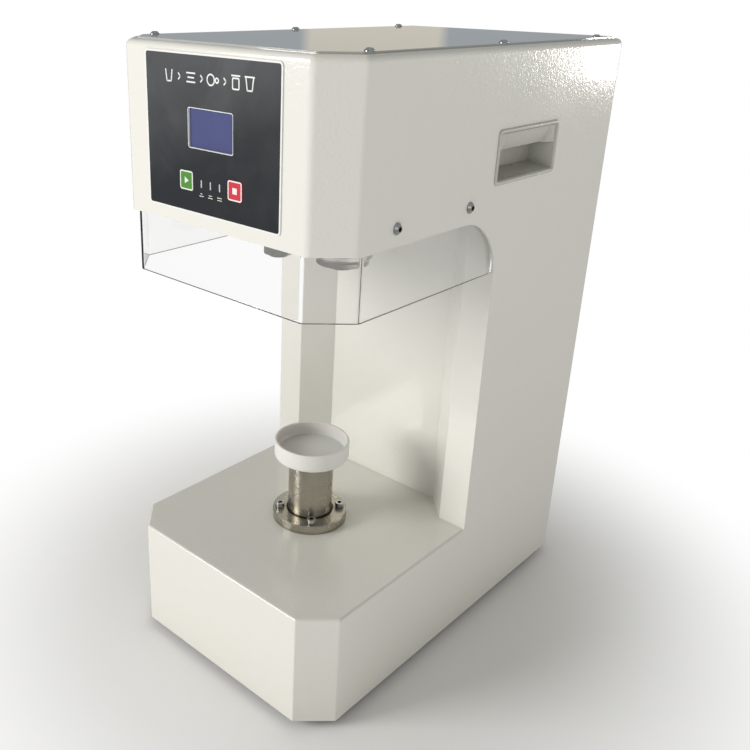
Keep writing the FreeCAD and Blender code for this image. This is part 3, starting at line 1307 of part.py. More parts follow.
# ---------------------------------------------------------------- every node
def main():
    os.makedirs("parts", exist_ok=True)
    nodes = casing_pieces()
    nodes.update({
        "column_front_panel": column_front_panel(),
        "top_cover": top_cover(),
        "rear_cover": rear_cover(),
        "bottom_plate": bottom_plate(),
        "rubber_feet": rubber_feet(),
        "cover_screws": Part.makeCompound(top_cover_screws().Solids + rear_cover_screws().Solids),
        "guard_screws": side_screws(),
        "right_handle": handle_right(),
        "left_handle": mirrored(handle_right()),
        "clear_guard": shield(),
        "control_overlay": control_overlay(),
        "display_module": display_module(),
        "start_key": front_key(-1),
        "stop_key": front_key(1),
        "indicator_lamps": indicator_lamps(),
        "control_board": control_board(),
        "power_supply": power_supply(),
        "power_inlet": power_inlet(),
        "power_switch": power_switch(),
        "head_plate": head_plate(),
        "spine_frame": spine_frame(),
        "lift_frame": lift_frame(),
        "deck_flange": deck_flange(),
        "flange_screws": flange_screws(),
        "guide_bush": guide_bush(),
        "lift_tube": lift_tube(),
        "tray": tray(),
        "tray_spindle": tray_spindle(),
        "tray_bearings": tray_bearings(),
        "lift_nut": lift_nut(),
        "guide_rod": guide_rod(),
        "lift_screw": lift_screw(),
        "screw_pulley": screw_pulley(),
        "lift_belt": lift_belt(),
        "lift_motor_pulley": lift_motor_pulley(),
        "lift_motor": lift_motor(),
        "main_motor": main_motor(),
        "motor_pulley": motor_pulley(),
        "drive_belt": drive_belt(),
        "spindle": spindle(),
        "spindle_pulley": spindle_pulley(),
        "bearing_housing": bearing_housing(),
        "spindle_bearings": spindle_bearings(),
        "plate_screws": plate_screws(),
        "chuck": chuck(),
        "chuck_screw": chuck_screw(),
        "arm_bushes": arm_bushes(),
        "seaming_motor_bridges": seaming_motor_bridges(),
        "seaming_motors": seaming_motors()})
    for name, side in (("left", -1), ("right", 1)):
        nodes[name + "_roller_arm"] = roller_arm(side)
        nodes[name + "_roller_pin"] = roller_pin(side)
        nodes[name + "_roller"] = roller(side)
    for name, shape in nodes.items():
        export(name, shape)
    print(len(nodes), "nodes")


main()
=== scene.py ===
# %% [markdown]
# # A bench-top can and cup sealing machine
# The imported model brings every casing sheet, shaft and screw at its true size and place.
# This lesson gives each one its finish, and builds finer pieces where light shows more than the design holds:
# the control panel's print, the cast handles, the milky tray and the turned steel under the head.
# Everything is in metres. +Z is up and the front of the machine faces -Y.

# %% Load the frame
import math

import bmesh
import bpy
from mathutils import Matrix, Vector


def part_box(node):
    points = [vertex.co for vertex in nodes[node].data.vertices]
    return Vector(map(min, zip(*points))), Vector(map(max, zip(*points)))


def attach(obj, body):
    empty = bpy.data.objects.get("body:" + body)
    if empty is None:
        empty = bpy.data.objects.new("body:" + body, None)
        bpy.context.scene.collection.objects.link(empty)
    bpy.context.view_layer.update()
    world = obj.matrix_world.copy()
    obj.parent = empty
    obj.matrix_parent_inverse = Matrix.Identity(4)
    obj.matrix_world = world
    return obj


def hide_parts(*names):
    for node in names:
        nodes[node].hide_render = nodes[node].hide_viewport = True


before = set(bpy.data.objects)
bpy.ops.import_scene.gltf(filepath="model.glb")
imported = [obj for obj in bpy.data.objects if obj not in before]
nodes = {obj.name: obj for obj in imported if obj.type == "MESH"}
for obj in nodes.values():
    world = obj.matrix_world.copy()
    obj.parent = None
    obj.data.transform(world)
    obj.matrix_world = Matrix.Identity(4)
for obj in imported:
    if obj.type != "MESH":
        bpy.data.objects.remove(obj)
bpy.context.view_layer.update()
MM = 0.001

# %% [markdown]
# ## Places
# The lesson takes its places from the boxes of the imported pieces, so nothing here has to be measured twice.
# The sealing axis is the middle of the tray, and the front face is the front of the head panel.

# %% Places read from the frame
tray_low, tray_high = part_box("tray")
head_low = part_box("head_front_panel")[0]
overlay_low, overlay_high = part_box("control_overlay")
axis = Vector(((tray_low.x + tray_high.x) / 2, (tray_low.y + tray_high.y) / 2, 0))
front = head_low.y
print("axis", axis, "front", round(front, 4))

# %% [markdown]
# ## The camera
# The machine is seen from its right, a little above the head, so the front, the side and the deck all show.
# The picture's centre isn't on the lens axis, which is what shift is for: it slides the frame with no new
# perspective.

# %% Camera
LOOK = Vector((-0.63577, 0.67464, -0.37504))
ROLL = math.radians(1.1)
camera_data = bpy.data.cameras.new("studio_camera")
camera = bpy.data.objects.new("studio_camera", camera_data)
bpy.context.scene.collection.objects.link(camera)
camera_data.lens = 42.27
camera_data.sensor_width = 36
camera_data.shift_x = 0.1264
camera_data.shift_y = -0.0464
camera_data.clip_start = 0.01
turn = LOOK.to_track_quat("-Z", "Y").to_matrix() @ Matrix.Rotation(ROLL, 3, "Z")
camera.matrix_world = Matrix.Translation((0.4926, front - 0.4433, 0.6096)) @ turn.to_4x4()
bpy.context.scene.camera = camera
print("camera at", [round(v, 3) for v in camera.location])

# %% [markdown]
# ## Node groups
# Several finishes share an effect, such as the orange peel of powder coat or the rings that a lathe leaves.
# Each effect is one node group with named inputs. A group gives out only a height, a mask or a value, and
# every material keeps its own shader, so the same rings can serve steel, bronze and plastic.

# %% A helper that starts a group
def new_group(name, inputs, outputs):
    """Empty group with float inputs {label: default} and outputs; returns its tree, input and output."""
    tree = bpy.data.node_groups.new(name, "ShaderNodeTree")
    for label, default in inputs.items():
        socket = tree.interface.new_socket(label, in_out="INPUT", socket_type="NodeSocketFloat")
        socket.default_value = default
    for label in outputs:
        tree.interface.new_socket(label, in_out="OUTPUT", socket_type="NodeSocketFloat")
    return tree, tree.nodes.new("NodeGroupInput"), tree.nodes.new("NodeGroupOutput")


def math_node(tree, operation, *values):
    """Math node; each value is a number or the socket that feeds it. Returns its output."""
    node = tree.nodes.new("ShaderNodeMath")
    node.operation = operation
    for slot, value in zip(node.inputs, values):
        if isinstance(value, (int, float)):
            slot.default_value = value
        else:
            tree.links.new(value, slot)
    return node.outputs[0]


def place_of(tree):
    return tree.nodes.new("ShaderNodeTexCoord").outputs["Object"]


# %% [markdown]
# Powder coat melts into a skin that is glossy but never quite flat. One noise gives its peel, about
# two millimetres across, and a slower one makes the gloss drift from place to place.

# %% Orange peel
def orange_peel_group():
    tree, given, result = new_group("orange_peel", {"Scale": 420.0, "Drift": 0.06}, ["Height", "Gloss"])
    peel = tree.nodes.new("ShaderNodeTexNoise")
    peel.inputs["Detail"].default_value = 1.5
    peel.inputs["Roughness"].default_value = 0.45
    tree.links.new(place_of(tree), peel.inputs["Vector"])
    tree.links.new(given.outputs["Scale"], peel.inputs["Scale"])
    drift = tree.nodes.new("ShaderNodeTexNoise")
    drift.inputs["Scale"].default_value = 9.0
    drift.inputs["Detail"].default_value = 3.0
    tree.links.new(place_of(tree), drift.inputs["Vector"])
    centred = math_node(tree, "SUBTRACT", drift.outputs["Fac"], 0.5)
    tree.links.new(peel.outputs["Fac"], result.inputs["Height"])
    tree.links.new(math_node(tree, "MULTIPLY", centred, given.outputs["Drift"]), result.inputs["Gloss"])
    return tree


ORANGE_PEEL = orange_peel_group()
print("group", ORANGE_PEEL.name)

# %% [markdown]
# A lathe leaves fine rings round its axis: circles on a face, and level lines up a cylinder. Both come from
# one noise read at (distance from the axis, height), with the axis given by its X and Y.

# %% Turned rings
def turned_rings_group():
    tree, given, result = new_group("turned_rings", {"Axis X": 0.0, "Axis Y": 0.0, "Scale": 2500.0},
                                    ["Height", "Shade"])
    split = tree.nodes.new("ShaderNodeSeparateXYZ")
    tree.links.new(place_of(tree), split.inputs[0])
    dx = math_node(tree, "SUBTRACT", split.outputs["X"], given.outputs["Axis X"])
    dy = math_node(tree, "SUBTRACT", split.outputs["Y"], given.outputs["Axis Y"])
    radius = math_node(tree, "SQRT", math_node(tree, "ADD", math_node(tree, "MULTIPLY", dx, dx),
                                                math_node(tree, "MULTIPLY", dy, dy)))
    join = tree.nodes.new("ShaderNodeCombineXYZ")
    tree.links.new(radius, join.inputs["X"])
    tree.links.new(split.outputs["Z"], join.inputs["Y"])
    rings = tree.nodes.new("ShaderNodeTexNoise")
    rings.inputs["Detail"].default_value = 2.0
    tree.links.new(join.outputs[0], rings.inputs["Vector"])
    tree.links.new(given.outputs["Scale"], rings.inputs["Scale"])
    wide = tree.nodes.new("ShaderNodeTexNoise")
    wide.inputs["Scale"].default_value = 160.0
    tree.links.new(join.outputs[0], wide.inputs["Vector"])
    tree.links.new(rings.outputs["Fac"], result.inputs["Height"])
    tree.links.new(wide.outputs["Fac"], result.inputs["Shade"])
    return tree


TURNED_RINGS = turned_rings_group()
print("group", TURNED_RINGS.name)

# %% [markdown]
# Moulded plastic and printed film have a fine spark-eroded grain. Everything that is handled also gathers
# faint smudges, which show only where the gloss changes, so they go to roughness and hardly to colour.

# %% Fine grain and smudges
def fine_grain_group():
    tree, given, result = new_group("fine_grain", {"Scale": 2600.0}, ["Height"])
    grain = tree.nodes.new("ShaderNodeTexVoronoi")
    tree.links.new(place_of(tree), grain.inputs["Vector"])
    tree.links.new(given.outputs["Scale"], grain.inputs["Scale"])
    tree.links.new(grain.outputs["Distance"], result.inputs["Height"])
    return tree


def smudges_group():
    tree, given, result = new_group("smudges", {"Scale": 28.0, "Amount": 0.1}, ["Mask"])
    cloud = tree.nodes.new("ShaderNodeTexNoise")
    cloud.inputs["Detail"].default_value = 6.0
    cloud.inputs["Distortion"].default_value = 0.8
    tree.links.new(place_of(tree), cloud.inputs["Vector"])
    tree.links.new(given.outputs["Scale"], cloud.inputs["Scale"])
    band = tree.nodes.new("ShaderNodeMapRange")
    band.inputs["From Min"].default_value = 0.48
    band.inputs["From Max"].default_value = 0.72
    tree.links.new(cloud.outputs["Fac"], band.inputs["Value"])
    amount = math_node(tree, "MULTIPLY", band.outputs[0], given.outputs["Amount"])
    tree.links.new(amount, result.inputs["Mask"])
    return tree


FINE_GRAIN = fine_grain_group()
SMUDGES = smudges_group()
print("groups", FINE_GRAIN.name, SMUDGES.name)

# %% [markdown]
# Inside corners are darkened, for dust and as painted shade. Ambient occlusion finds those corners without
# any map, so the mask follows the shape wherever the material is used.

# %% Corner dust and painted shade
def corner_dust_and_shade_group():
    tree, given, result = new_group("corner_dust_and_shade", {"Reach": 0.006, "Amount": 0.3}, ["Mask"])
    corners = tree.nodes.new("ShaderNodeAmbientOcclusion")
    corners.samples = 16
    tree.links.new(given.outputs["Reach"], corners.inputs["Distance"])
    hidden = math_node(tree, "SUBTRACT", 1.0, corners.outputs["AO"])
    tree.links.new(math_node(tree, "MULTIPLY", hidden, given.outputs["Amount"]), result.inputs["Mask"])
    return tree


CORNER_DUST_AND_SHADE = corner_dust_and_shade_group()
print("group", CORNER_DUST_AND_SHADE.name)

# %% [markdown]
# A satin film catches more of the sky towards its top. A mask that climbs between two heights gives that
# slow change, and the material paints it into its colour as a painted reflection.

# %% Painted sheen that climbs
def painted_sheen_group():
    tree, given, result = new_group("painted_sheen_up", {"From Z": 0.0, "To Z": 0.1, "Lean": 0.45}, ["Mask"])
    split = tree.nodes.new("ShaderNodeSeparateXYZ")
    tree.links.new(place_of(tree), split.inputs[0])
    lean = math_node(tree, "MULTIPLY", split.outputs["X"], given.outputs["Lean"])
    climb = tree.nodes.new("ShaderNodeMapRange")
    tree.links.new(math_node(tree, "SUBTRACT", split.outputs["Z"], lean), climb.inputs["Value"])
    tree.links.new(given.outputs["From Z"], climb.inputs["From Min"])
    tree.links.new(given.outputs["To Z"], climb.inputs["From Max"])
    tree.links.new(climb.outputs[0], result.inputs["Mask"])
    return tree


PAINTED_SHEEN = painted_sheen_group()
print("group", PAINTED_SHEEN.name)

# %% [markdown]
# ## Materials
# Every material starts the same way: a Principled shader whose fixed numbers sit on its own sockets. The
# helpers below then wire a group into its roughness, colour or bump.

# %% Material helpers
def new_material(name, colour, roughness, **settings):
    """Material with a Principled shader; settings are socket names with underscores for spaces."""
    material = bpy.data.materials.new(name)
    material.use_nodes = True
    shader = material.node_tree.nodes["Principled BSDF"]
    shader.inputs["Base Color"].default_value = (*colour, 1)
    shader.inputs["Roughness"].default_value = roughness
    for label, value in settings.items():
        shader.inputs[label.replace("_", " ")].default_value = value
    material.diffuse_color = (*colour, 1)
    return material


def use_group(material, group, **values):
    node = material.node_tree.nodes.new("ShaderNodeGroup")
    node.node_tree = group
    for label, value in values.items():
        node.inputs[label.replace("_", " ")].default_value = value
    return node


def shader_of(material):
    return material.node_tree.nodes["Principled BSDF"]


def add_bump(material, height, strength, distance):
    tree = material.node_tree
    bump = tree.nodes.new("ShaderNodeBump")
    bump.inputs["Strength"].default_value = strength
    bump.inputs["Distance"].default_value = distance
    tree.links.new(height, bump.inputs["Height"])
    tree.links.new(bump.outputs[0], shader_of(material).inputs["Normal"])
    return bump


def vary_roughness(material, *changes):
    """Adds each change, a socket, to the roughness that the shader had."""
    tree = material.node_tree
    total = shader_of(material).inputs["Roughness"].default_value
    for change in changes:
        total = math_node(tree, "ADD", total, change)
    limited = math_node(tree, "MAXIMUM", total, 0.0)
    tree.links.new(limited, shader_of(material).inputs["Roughness"])


def mix_colour(material, mask, colour):
    """Lays another colour over the present base colour where the mask is 1."""
    tree = material.node_tree
    base = shader_of(material).inputs["Base Color"]
    mix = tree.nodes.new("ShaderNodeMix")
    mix.data_type = "RGBA"
    mix.clamp_factor = True
    if base.is_linked:
        tree.links.new(base.links[0].from_socket, mix.inputs[6])
    else:
        mix.inputs[6].default_value = base.default_value
    mix.inputs[7].default_value = (*colour, 1)
    tree.links.new(mask, mix.inputs[0])
    tree.links.new(mix.outputs[2], base)
    return mix


# %% [markdown]
# ### Painted sheet
# The casing is off-white gloss powder coat. Its colour is one value with a whisper of drift and a little
# grey in the corners, dust and painted shade; nearly all of its character is the orange peel in its
# reflections.

# %% Powder coat
def powder_coat(name, colour, roughness, peel_depth, reach=0.008, dust_and_shade_amount=0.22, **settings):
    paint = new_material(name, colour, roughness, Coat_Weight=0.35, Coat_Roughness=0.06, **settings)
    peel = use_group(paint, ORANGE_PEEL)
    smudges = use_group(paint, SMUDGES, Scale=14.0, Amount=0.05)
    dust_and_shade = use_group(paint, CORNER_DUST_AND_SHADE, Reach=reach, Amount=dust_and_shade_amount)
    add_bump(paint, peel.outputs["Height"], 0.5, peel_depth)
    vary_roughness(paint, peel.outputs["Gloss"], smudges.outputs["Mask"])
    # Dust and painted shade: the corners that ambient occlusion finds take a darker grey of the paint.
    mix_colour(paint, dust_and_shade.outputs["Mask"], tuple(c * 0.45 for c in colour))
    return paint


SHELL_PAINT = powder_coat("off_white_powder_coat", (0.80, 0.787, 0.732), 0.15, 0.00034)
COVER_PAINT = powder_coat("gloss_cover_paint", (0.55, 0.55, 0.54), 0.03, 0.000004)
# The handle's wide reach darkens its whole pocket with painted shade.
HANDLE_PAINT = powder_coat("cast_handle_paint", (0.62, 0.61, 0.55), 0.26, 0.00020, reach=0.030,
                           dust_and_shade_amount=1.0, Metallic=0.15)
FRAME_PAINT = powder_coat("dark_frame_paint", (0.035, 0.037, 0.040), 0.38, 0.00022)
MOTOR_PAINT = powder_coat("motor_paint", (0.07, 0.075, 0.085), 0.40, 0.00022)

# %% [markdown]
# ### Turned and ground steel
# Bare steel is fully metallic. The rings bend its reflections sideways, which is the streak that runs up
# the lift tube, and a slow noise makes neighbouring bands a little lighter or darker.

# %% Turned metal
def turned_metal(name, colour, roughness, place, depth=0.00004, scale=2500.0):
    metal = new_material(name, colour, roughness, Metallic=1.0)
    rings = use_group(metal, TURNED_RINGS, Axis_X=place[0], Axis_Y=place[1], Scale=scale)
    smudges = use_group(metal, SMUDGES, Scale=60.0, Amount=0.12)
    add_bump(metal, rings.outputs["Height"], 0.5, depth)
    shade = math_node(metal.node_tree, "MULTIPLY", rings.outputs["Shade"], 0.16)
    dust_and_shade = use_group(metal, CORNER_DUST_AND_SHADE, Reach=0.004, Amount=0.9)
    vary_roughness(metal, smudges.outputs["Mask"], shade)
    mix_colour(metal, smudges.outputs["Mask"], tuple(c * 0.5 for c in colour))
    # Painted shade, with some dust: the corners that ambient occlusion finds go almost black.
    mix_colour(metal, dust_and_shade.outputs["Mask"], tuple(c * 0.12 for c in colour))
    return metal


def middle_of(node):
    low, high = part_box(node)
    return ((low.x + high.x) / 2, (low.y + high.y) / 2)


TUBE_STEEL = turned_metal("turned_stainless", (0.47, 0.435, 0.365), 0.16, (axis.x, axis.y))
SPINDLE_STEEL = turned_metal("ground_spindle_steel", (0.50, 0.49, 0.47), 0.24, (axis.x, axis.y))
CHUCK_STEEL = turned_metal("polished_chuck_steel", (0.60, 0.58, 0.55), 0.14, (axis.x, axis.y))
LEFT_ROLLER_STEEL = turned_metal("left_roller_steel", (0.62, 0.60, 0.57), 0.08, middle_of("left_roller"))
RIGHT_ROLLER_STEEL = turned_metal("right_roller_steel", (0.62, 0.60, 0.57), 0.08, middle_of("right_roller"))
BRONZE = turned_metal("bearing_bronze", (0.60, 0.38, 0.17), 0.28, (axis.x, axis.y))
OILED_BRONZE = turned_metal("oiled_bush_bronze", (0.055, 0.042, 0.028), 0.38, (axis.x, axis.y))

# %% [markdown]
# Screws, plates and alloy have a fine even grain instead of rings.

# %% Plain metals
def plain_metal(name, colour, roughness, grain_scale=900.0, depth=0.00003):
    metal = new_material(name, colour, roughness, Metallic=1.0)
    dust_and_shade = use_group(metal, CORNER_DUST_AND_SHADE, Reach=0.003, Amount=1.1)
    grain = use_group(metal, ORANGE_PEEL, Scale=grain_scale, Drift=0.12)
    smudges = use_group(metal, SMUDGES, Scale=90.0, Amount=0.15)
    add_bump(metal, grain.outputs["Height"], 0.4, depth)
    vary_roughness(metal, grain.outputs["Gloss"], smudges.outputs["Mask"])
    mix_colour(metal, smudges.outputs["Mask"], tuple(c * 0.4 for c in colour))
    # Painted shade, with some dust: the foot of each screw head and step goes almost black.
    mix_colour(metal, dust_and_shade.outputs["Mask"], tuple(c * 0.06 for c in colour))
    return metal


SCREW_STEEL = plain_metal("stainless_screws", (0.55, 0.54, 0.52), 0.18)
PLATE_STEEL = plain_metal("machined_plate", (0.42, 0.42, 0.43), 0.34, 500.0, 0.00008)
BEARING_STEEL = plain_metal("bearing_steel", (0.52, 0.52, 0.53), 0.16)
ALLOY = plain_metal("machined_alloy", (0.72, 0.73, 0.74), 0.30, 700.0, 0.00006)

# %% [markdown]
# ### Plastics and rubber
# Matt plastics share the fine grain. The tray is a milky plastic that light enters, so it has subsurface
# scattering; the guard is a clear sheet with the bending power of acrylic.

# %% Plastics
def grained_plastic(name, colour, roughness, depth=0.00003, **settings):
    plastic = new_material(name, colour, roughness, **settings)
    grain = use_group(plastic, FINE_GRAIN)
    smudges = use_group(plastic, SMUDGES, Scale=40.0, Amount=0.12)
    add_bump(plastic, grain.outputs["Height"], 0.4, depth)
    vary_roughness(plastic, smudges.outputs["Mask"])
    return plastic


BLACK_PLASTIC = grained_plastic("black_moulding", (0.018, 0.018, 0.019), 0.42)
RUBBER = grained_plastic("foot_rubber", (0.022, 0.022, 0.022), 0.70, 0.00010)
BELT_RUBBER = grained_plastic("belt_rubber", (0.015, 0.015, 0.015), 0.60, 0.00010)
BOARD_RESIN = grained_plastic("circuit_board", (0.02, 0.11, 0.05), 0.35)
LAMP_PLASTIC = grained_plastic("lamp_lens", (0.50, 0.53, 0.57), 0.25, 0.00001)
LAMP_PITCH = 0.0102
LAMP_HALF_LINE = 0.0006


def lamp_line_mask(material):
    """1 on the thin upright line in the middle of each of the three lamps, by folding X onto one pitch."""
    tree = material.node_tree
    split = tree.nodes.new("ShaderNodeSeparateXYZ")
    tree.links.new(place_of(tree), split.inputs[0])
    folded = math_node(tree, "PINGPONG", split.outputs["X"], LAMP_PITCH / 2)
    return math_node(tree, "GREATER_THAN", folded, LAMP_HALF_LINE)


mix_colour(LAMP_PLASTIC, lamp_line_mask(LAMP_PLASTIC), (0.05, 0.055, 0.06))
TRAY_PLASTIC = grained_plastic("milky_tray", (0.80, 0.795, 0.765), 0.45, 0.00004,
                               Subsurface_Weight=0.25, Subsurface_Scale=0.003)
# Painted shade: the inside of the cup is greyed where ambient occlusion finds it closed in.
tray_painted_shade = use_group(TRAY_PLASTIC, CORNER_DUST_AND_SHADE, Reach=0.03, Amount=0.55)
mix_colour(TRAY_PLASTIC, tray_painted_shade.outputs["Mask"], (0.42, 0.41, 0.385))
GUARD_PLASTIC = new_material("clear_guard", (0.985, 0.99, 0.985), 0.0, IOR=1.49)
shader_of(GUARD_PLASTIC).inputs["Transmission Weight"].default_value = 1.0
guard_smudges = use_group(GUARD_PLASTIC, SMUDGES, Scale=22.0, Amount=0.02)
vary_roughness(GUARD_PLASTIC, guard_smudges.outputs["Mask"])

# %% [markdown]
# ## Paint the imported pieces
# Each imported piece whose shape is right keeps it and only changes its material. The pieces that are built
# again further down aren't in this list.

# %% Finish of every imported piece
FINISHES = {
    SHELL_PAINT: ["head_front_panel", "base_shell", "right_side_panel", "left_side_panel",
                  "column_front_panel", "rear_cover"],
    COVER_PAINT: ["top_cover"],
    FRAME_PAINT: ["spine_frame", "bottom_plate", "seaming_motor_bridges"],
    MOTOR_PAINT: ["main_motor", "lift_motor", "seaming_motors"],
    TUBE_STEEL: ["deck_flange"],
    SPINDLE_STEEL: ["spindle", "bearing_housing", "tray_spindle", "lift_screw"],
    LEFT_ROLLER_STEEL: ["left_roller_pin"],
    RIGHT_ROLLER_STEEL: ["right_roller_pin"],
    BRONZE: ["lift_nut", "arm_bushes"],
    OILED_BRONZE: ["guide_bush"],
    SCREW_STEEL: ["cover_screws", "guard_screws", "flange_screws", "plate_screws", "chuck_screw"],
    PLATE_STEEL: ["head_plate", "lift_frame", "left_roller_arm", "right_roller_arm"],
    BEARING_STEEL: ["tray_bearings", "spindle_bearings", "guide_rod"],
    ALLOY: ["screw_pulley", "lift_motor_pulley", "spindle_pulley", "motor_pulley", "power_supply"],
    BELT_RUBBER: ["lift_belt", "drive_belt"],
    RUBBER: ["rubber_feet"],
    BLACK_PLASTIC: ["power_inlet", "power_switch"],
    BOARD_RESIN: ["control_board"],
    LAMP_PLASTIC: ["indicator_lamps"],
    GUARD_PLASTIC: ["clear_guard"],
}


def paint(piece, material):
    piece.data.materials.clear()
    piece.data.materials.append(material)


for finish, names in FINISHES.items():
    for name in names:
        paint(nodes[name], finish)
print("painted", sum(len(names) for names in FINISHES.values()), "pieces")

# %% [markdown]
# ## Building tools for new pieces
# A new piece starts as an empty bmesh, is shaped by operators, and becomes one object that rides on the body
# it belongs to. Small helpers keep every piece the same: closed, facing outwards, smooth where it is round.

# %% From a bmesh to a riding piece
def finish_piece(name, shape, material, body, smooth_angle=32, stands_for=()):
    """Turns a bmesh in millimetres into an object in metres that rides on a body."""
    bmesh.ops.remove_doubles(shape, verts=shape.verts, dist=0.0005)
    bmesh.ops.recalc_face_normals(shape, faces=shape.faces)
    bmesh.ops.scale(shape, vec=(MM, MM, MM), verts=shape.verts)
    for face in shape.faces:
        face.smooth = True
    limit = math.radians(smooth_angle)
    for edge in shape.edges:
        edge.smooth = len(edge.link_faces) == 2 and edge.calc_face_angle() < limit
    mesh = bpy.data.meshes.new(name)
    shape.to_mesh(mesh)
    shape.free()
    piece = bpy.data.objects.new(name, mesh)
    bpy.context.scene.collection.objects.link(piece)
    mesh.materials.append(material)
    level = piece.modifiers.new("level_faces", "WEIGHTED_NORMAL")
    level.keep_sharp = True
    if stands_for:
        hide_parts(*stands_for)
    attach(piece, body)
    print(name, len(mesh.polygons), "faces")
    return piece


# %% [markdown]
# Most steel under the head and at the deck came off a lathe. The same is done here: a half section is drawn
# as a row of points from the axis outwards, and spun once round. Corners are broken by a small bevel first,
# because a machinist does the same and that thin edge is what catches the light.

# %% Lathe
def lathe(section, centre, steps=144, closed=False):
    """Spins (radius, height) points in millimetres round an upright axis through centre."""
    shape = bmesh.new()
    verts = [shape.verts.new((centre[0] + r, centre[1], z)) for r, z in section]
    edges = [shape.edges.new(pair) for pair in zip(verts, verts[1:])]
    if closed:
        edges.append(shape.edges.new((verts[-1], verts[0])))
    bmesh.ops.spin(shape, geom=verts + edges, cent=(centre[0], centre[1], 0), axis=(0, 0, 1), dvec=(0, 0, 0),
                   angle=math.tau, steps=steps, use_merge=True, use_duplicate=False)
    bmesh.ops.remove_doubles(shape, verts=shape.verts, dist=0.0005)
    return shape


def eased(section, size=0.25, segments=2):
    """Rounds every inner corner of a section by cutting it back along both of its sides."""
    result = [section[0]]
    for before, corner, after in zip(section, section[1:], section[2:]):
        here, a, b = Vector(corner), Vector(before), Vector(after)
        reach = min(size, (a - here).length * 0.45, (b - here).length * 0.45)
        start = here + (a - here).normalized() * reach
        end = here + (b - here).normalized() * reach
        for i in range(segments + 1):
            t = i / segments
            result.append(tuple(start * (1 - t) ** 2 + here * 2 * t * (1 - t) + end * t ** 2))
    result.append(section[-1])
    return result


# %% [markdown]
# ## The tray
# The tray is a cup turned from milky plastic: a thin wall, a heavy floor and soft edges. It is one closed
# section spun round the sealing axis, with its lower outside edge rounded much more than its rim.

# %% Tray
AX, AY = axis.x / MM, axis.y / MM
TRAY_LOW, TRAY_TOP = tray_low.z / MM, tray_high.z / MM
TRAY_R = (tray_high.x - tray_low.x) / 2 / MM
TRAY_WALL = 2.5
TRAY_FLOOR = TRAY_LOW + 6.5
FOOT_ROUND = 4.0
FLOOR_ROUND = 2.5
RIM_ROUND = 0.8
STUD_HOLE = 3.02
STUD_TOP = TRAY_LOW + 4.6


def quarter(steps, first):
    """Angles of a quarter turn in equal steps, from the given step on."""
    return [math.radians(90 / steps * i) for i in range(first, steps + 1)]


def tray_section():
    inner = TRAY_R - TRAY_WALL
    foot = [(TRAY_R - FOOT_ROUND + FOOT_ROUND * math.sin(a), TRAY_LOW + FOOT_ROUND - FOOT_ROUND * math.cos(a))
            for a in quarter(6, 1)]
    rim = eased([(TRAY_R, TRAY_LOW + FOOT_ROUND + 0.5), (TRAY_R, TRAY_TOP), (inner, TRAY_TOP),
                 (inner, TRAY_FLOOR + FLOOR_ROUND + 0.5)], RIM_ROUND, 4)
    fillet = [(inner - FLOOR_ROUND + FLOOR_ROUND * math.cos(a),
               TRAY_FLOOR + FLOOR_ROUND - FLOOR_ROUND * math.sin(a)) for a in quarter(5, 0)]
    return ([(0, STUD_TOP), (STUD_HOLE, STUD_TOP), (STUD_HOLE, TRAY_LOW), (TRAY_R - FOOT_ROUND, TRAY_LOW)]
            + foot + rim + fillet + [(0, TRAY_FLOOR)])


finish_piece("milky_tray", lathe(tray_section(), (AX, AY), 160), TRAY_PLASTIC, "turntable",
             40, ["tray"])

# %% [markdown]
# ## Chuck and rollers
# The chuck presses the lid down and the rollers curl its rim. All three are hardened, ground discs with
# steps, so each is a section with eased corners, and the polish is left to the material.

# %% Chuck
def half_width(node):
    low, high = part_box(node)
    return (high.x - low.x) / 2 / MM


chuck_low, chuck_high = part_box("chuck")
CHUCK_R = half_width("chuck")
CHUCK_Z, CHUCK_TOP = chuck_low.z / MM, chuck_high.z / MM
CHUCK_LIP = CHUCK_R - 2
CHUCK_LIP_TOP = CHUCK_Z + 6.6
SCREW_BORE = 2.52
SCREW_HEAD_BORE = 5.0
SPINDLE_BORE = 8.02
SCREW_SEAT = CHUCK_Z + 4
SPINDLE_SEAT = CHUCK_Z + 6
chuck_section = eased([(SCREW_BORE, SCREW_SEAT - 0.01), (SCREW_HEAD_BORE, SCREW_SEAT),
                       (SCREW_HEAD_BORE, CHUCK_Z), (CHUCK_LIP, CHUCK_Z), (CHUCK_LIP, CHUCK_LIP_TOP),
                       (CHUCK_R, CHUCK_LIP_TOP), (CHUCK_R, CHUCK_TOP), (SPINDLE_BORE, CHUCK_TOP),
                       (SPINDLE_BORE, SPINDLE_SEAT), (SCREW_BORE, SPINDLE_SEAT)], 0.5, 3)
finish_piece("seaming_chuck", lathe(chuck_section, (AX, AY), closed=True), CHUCK_STEEL, "seaming_spindle",
             30, ["chuck"])
print("chuck radius", round(CHUCK_R, 2), "mm")

# %% [markdown]
# Both rollers share one section. Only the hub's drop and the groove's depth differ between the two.

# %% Rollers
ROLLER_THICK = 16.0
BOSS_TALL = 3.7
BOSS_RADIUS = 9.5
PIN_BORE = 6.05
HUB_RADIUS = 14.0
STEP_IN = 2.5


def roller_section(node, hub_drop, groove):
    rim = half_width(node)
    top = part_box(node)[1].z / MM - BOSS_TALL
    bottom = top - ROLLER_THICK
    return eased([(PIN_BORE, bottom - hub_drop), (HUB_RADIUS, bottom - hub_drop), (HUB_RADIUS, bottom),
                  (rim - STEP_IN, bottom), (rim - STEP_IN, bottom + 4), (rim, bottom + 6.5),
                  (rim, top - 6), (rim - groove, top - 5), (rim - groove, top - 2.5), (rim, top - 1.6),
                  (rim, top), (BOSS_RADIUS, top), (BOSS_RADIUS, top + BOSS_TALL),
                  (PIN_BORE, top + BOSS_TALL)], 0.45, 3)


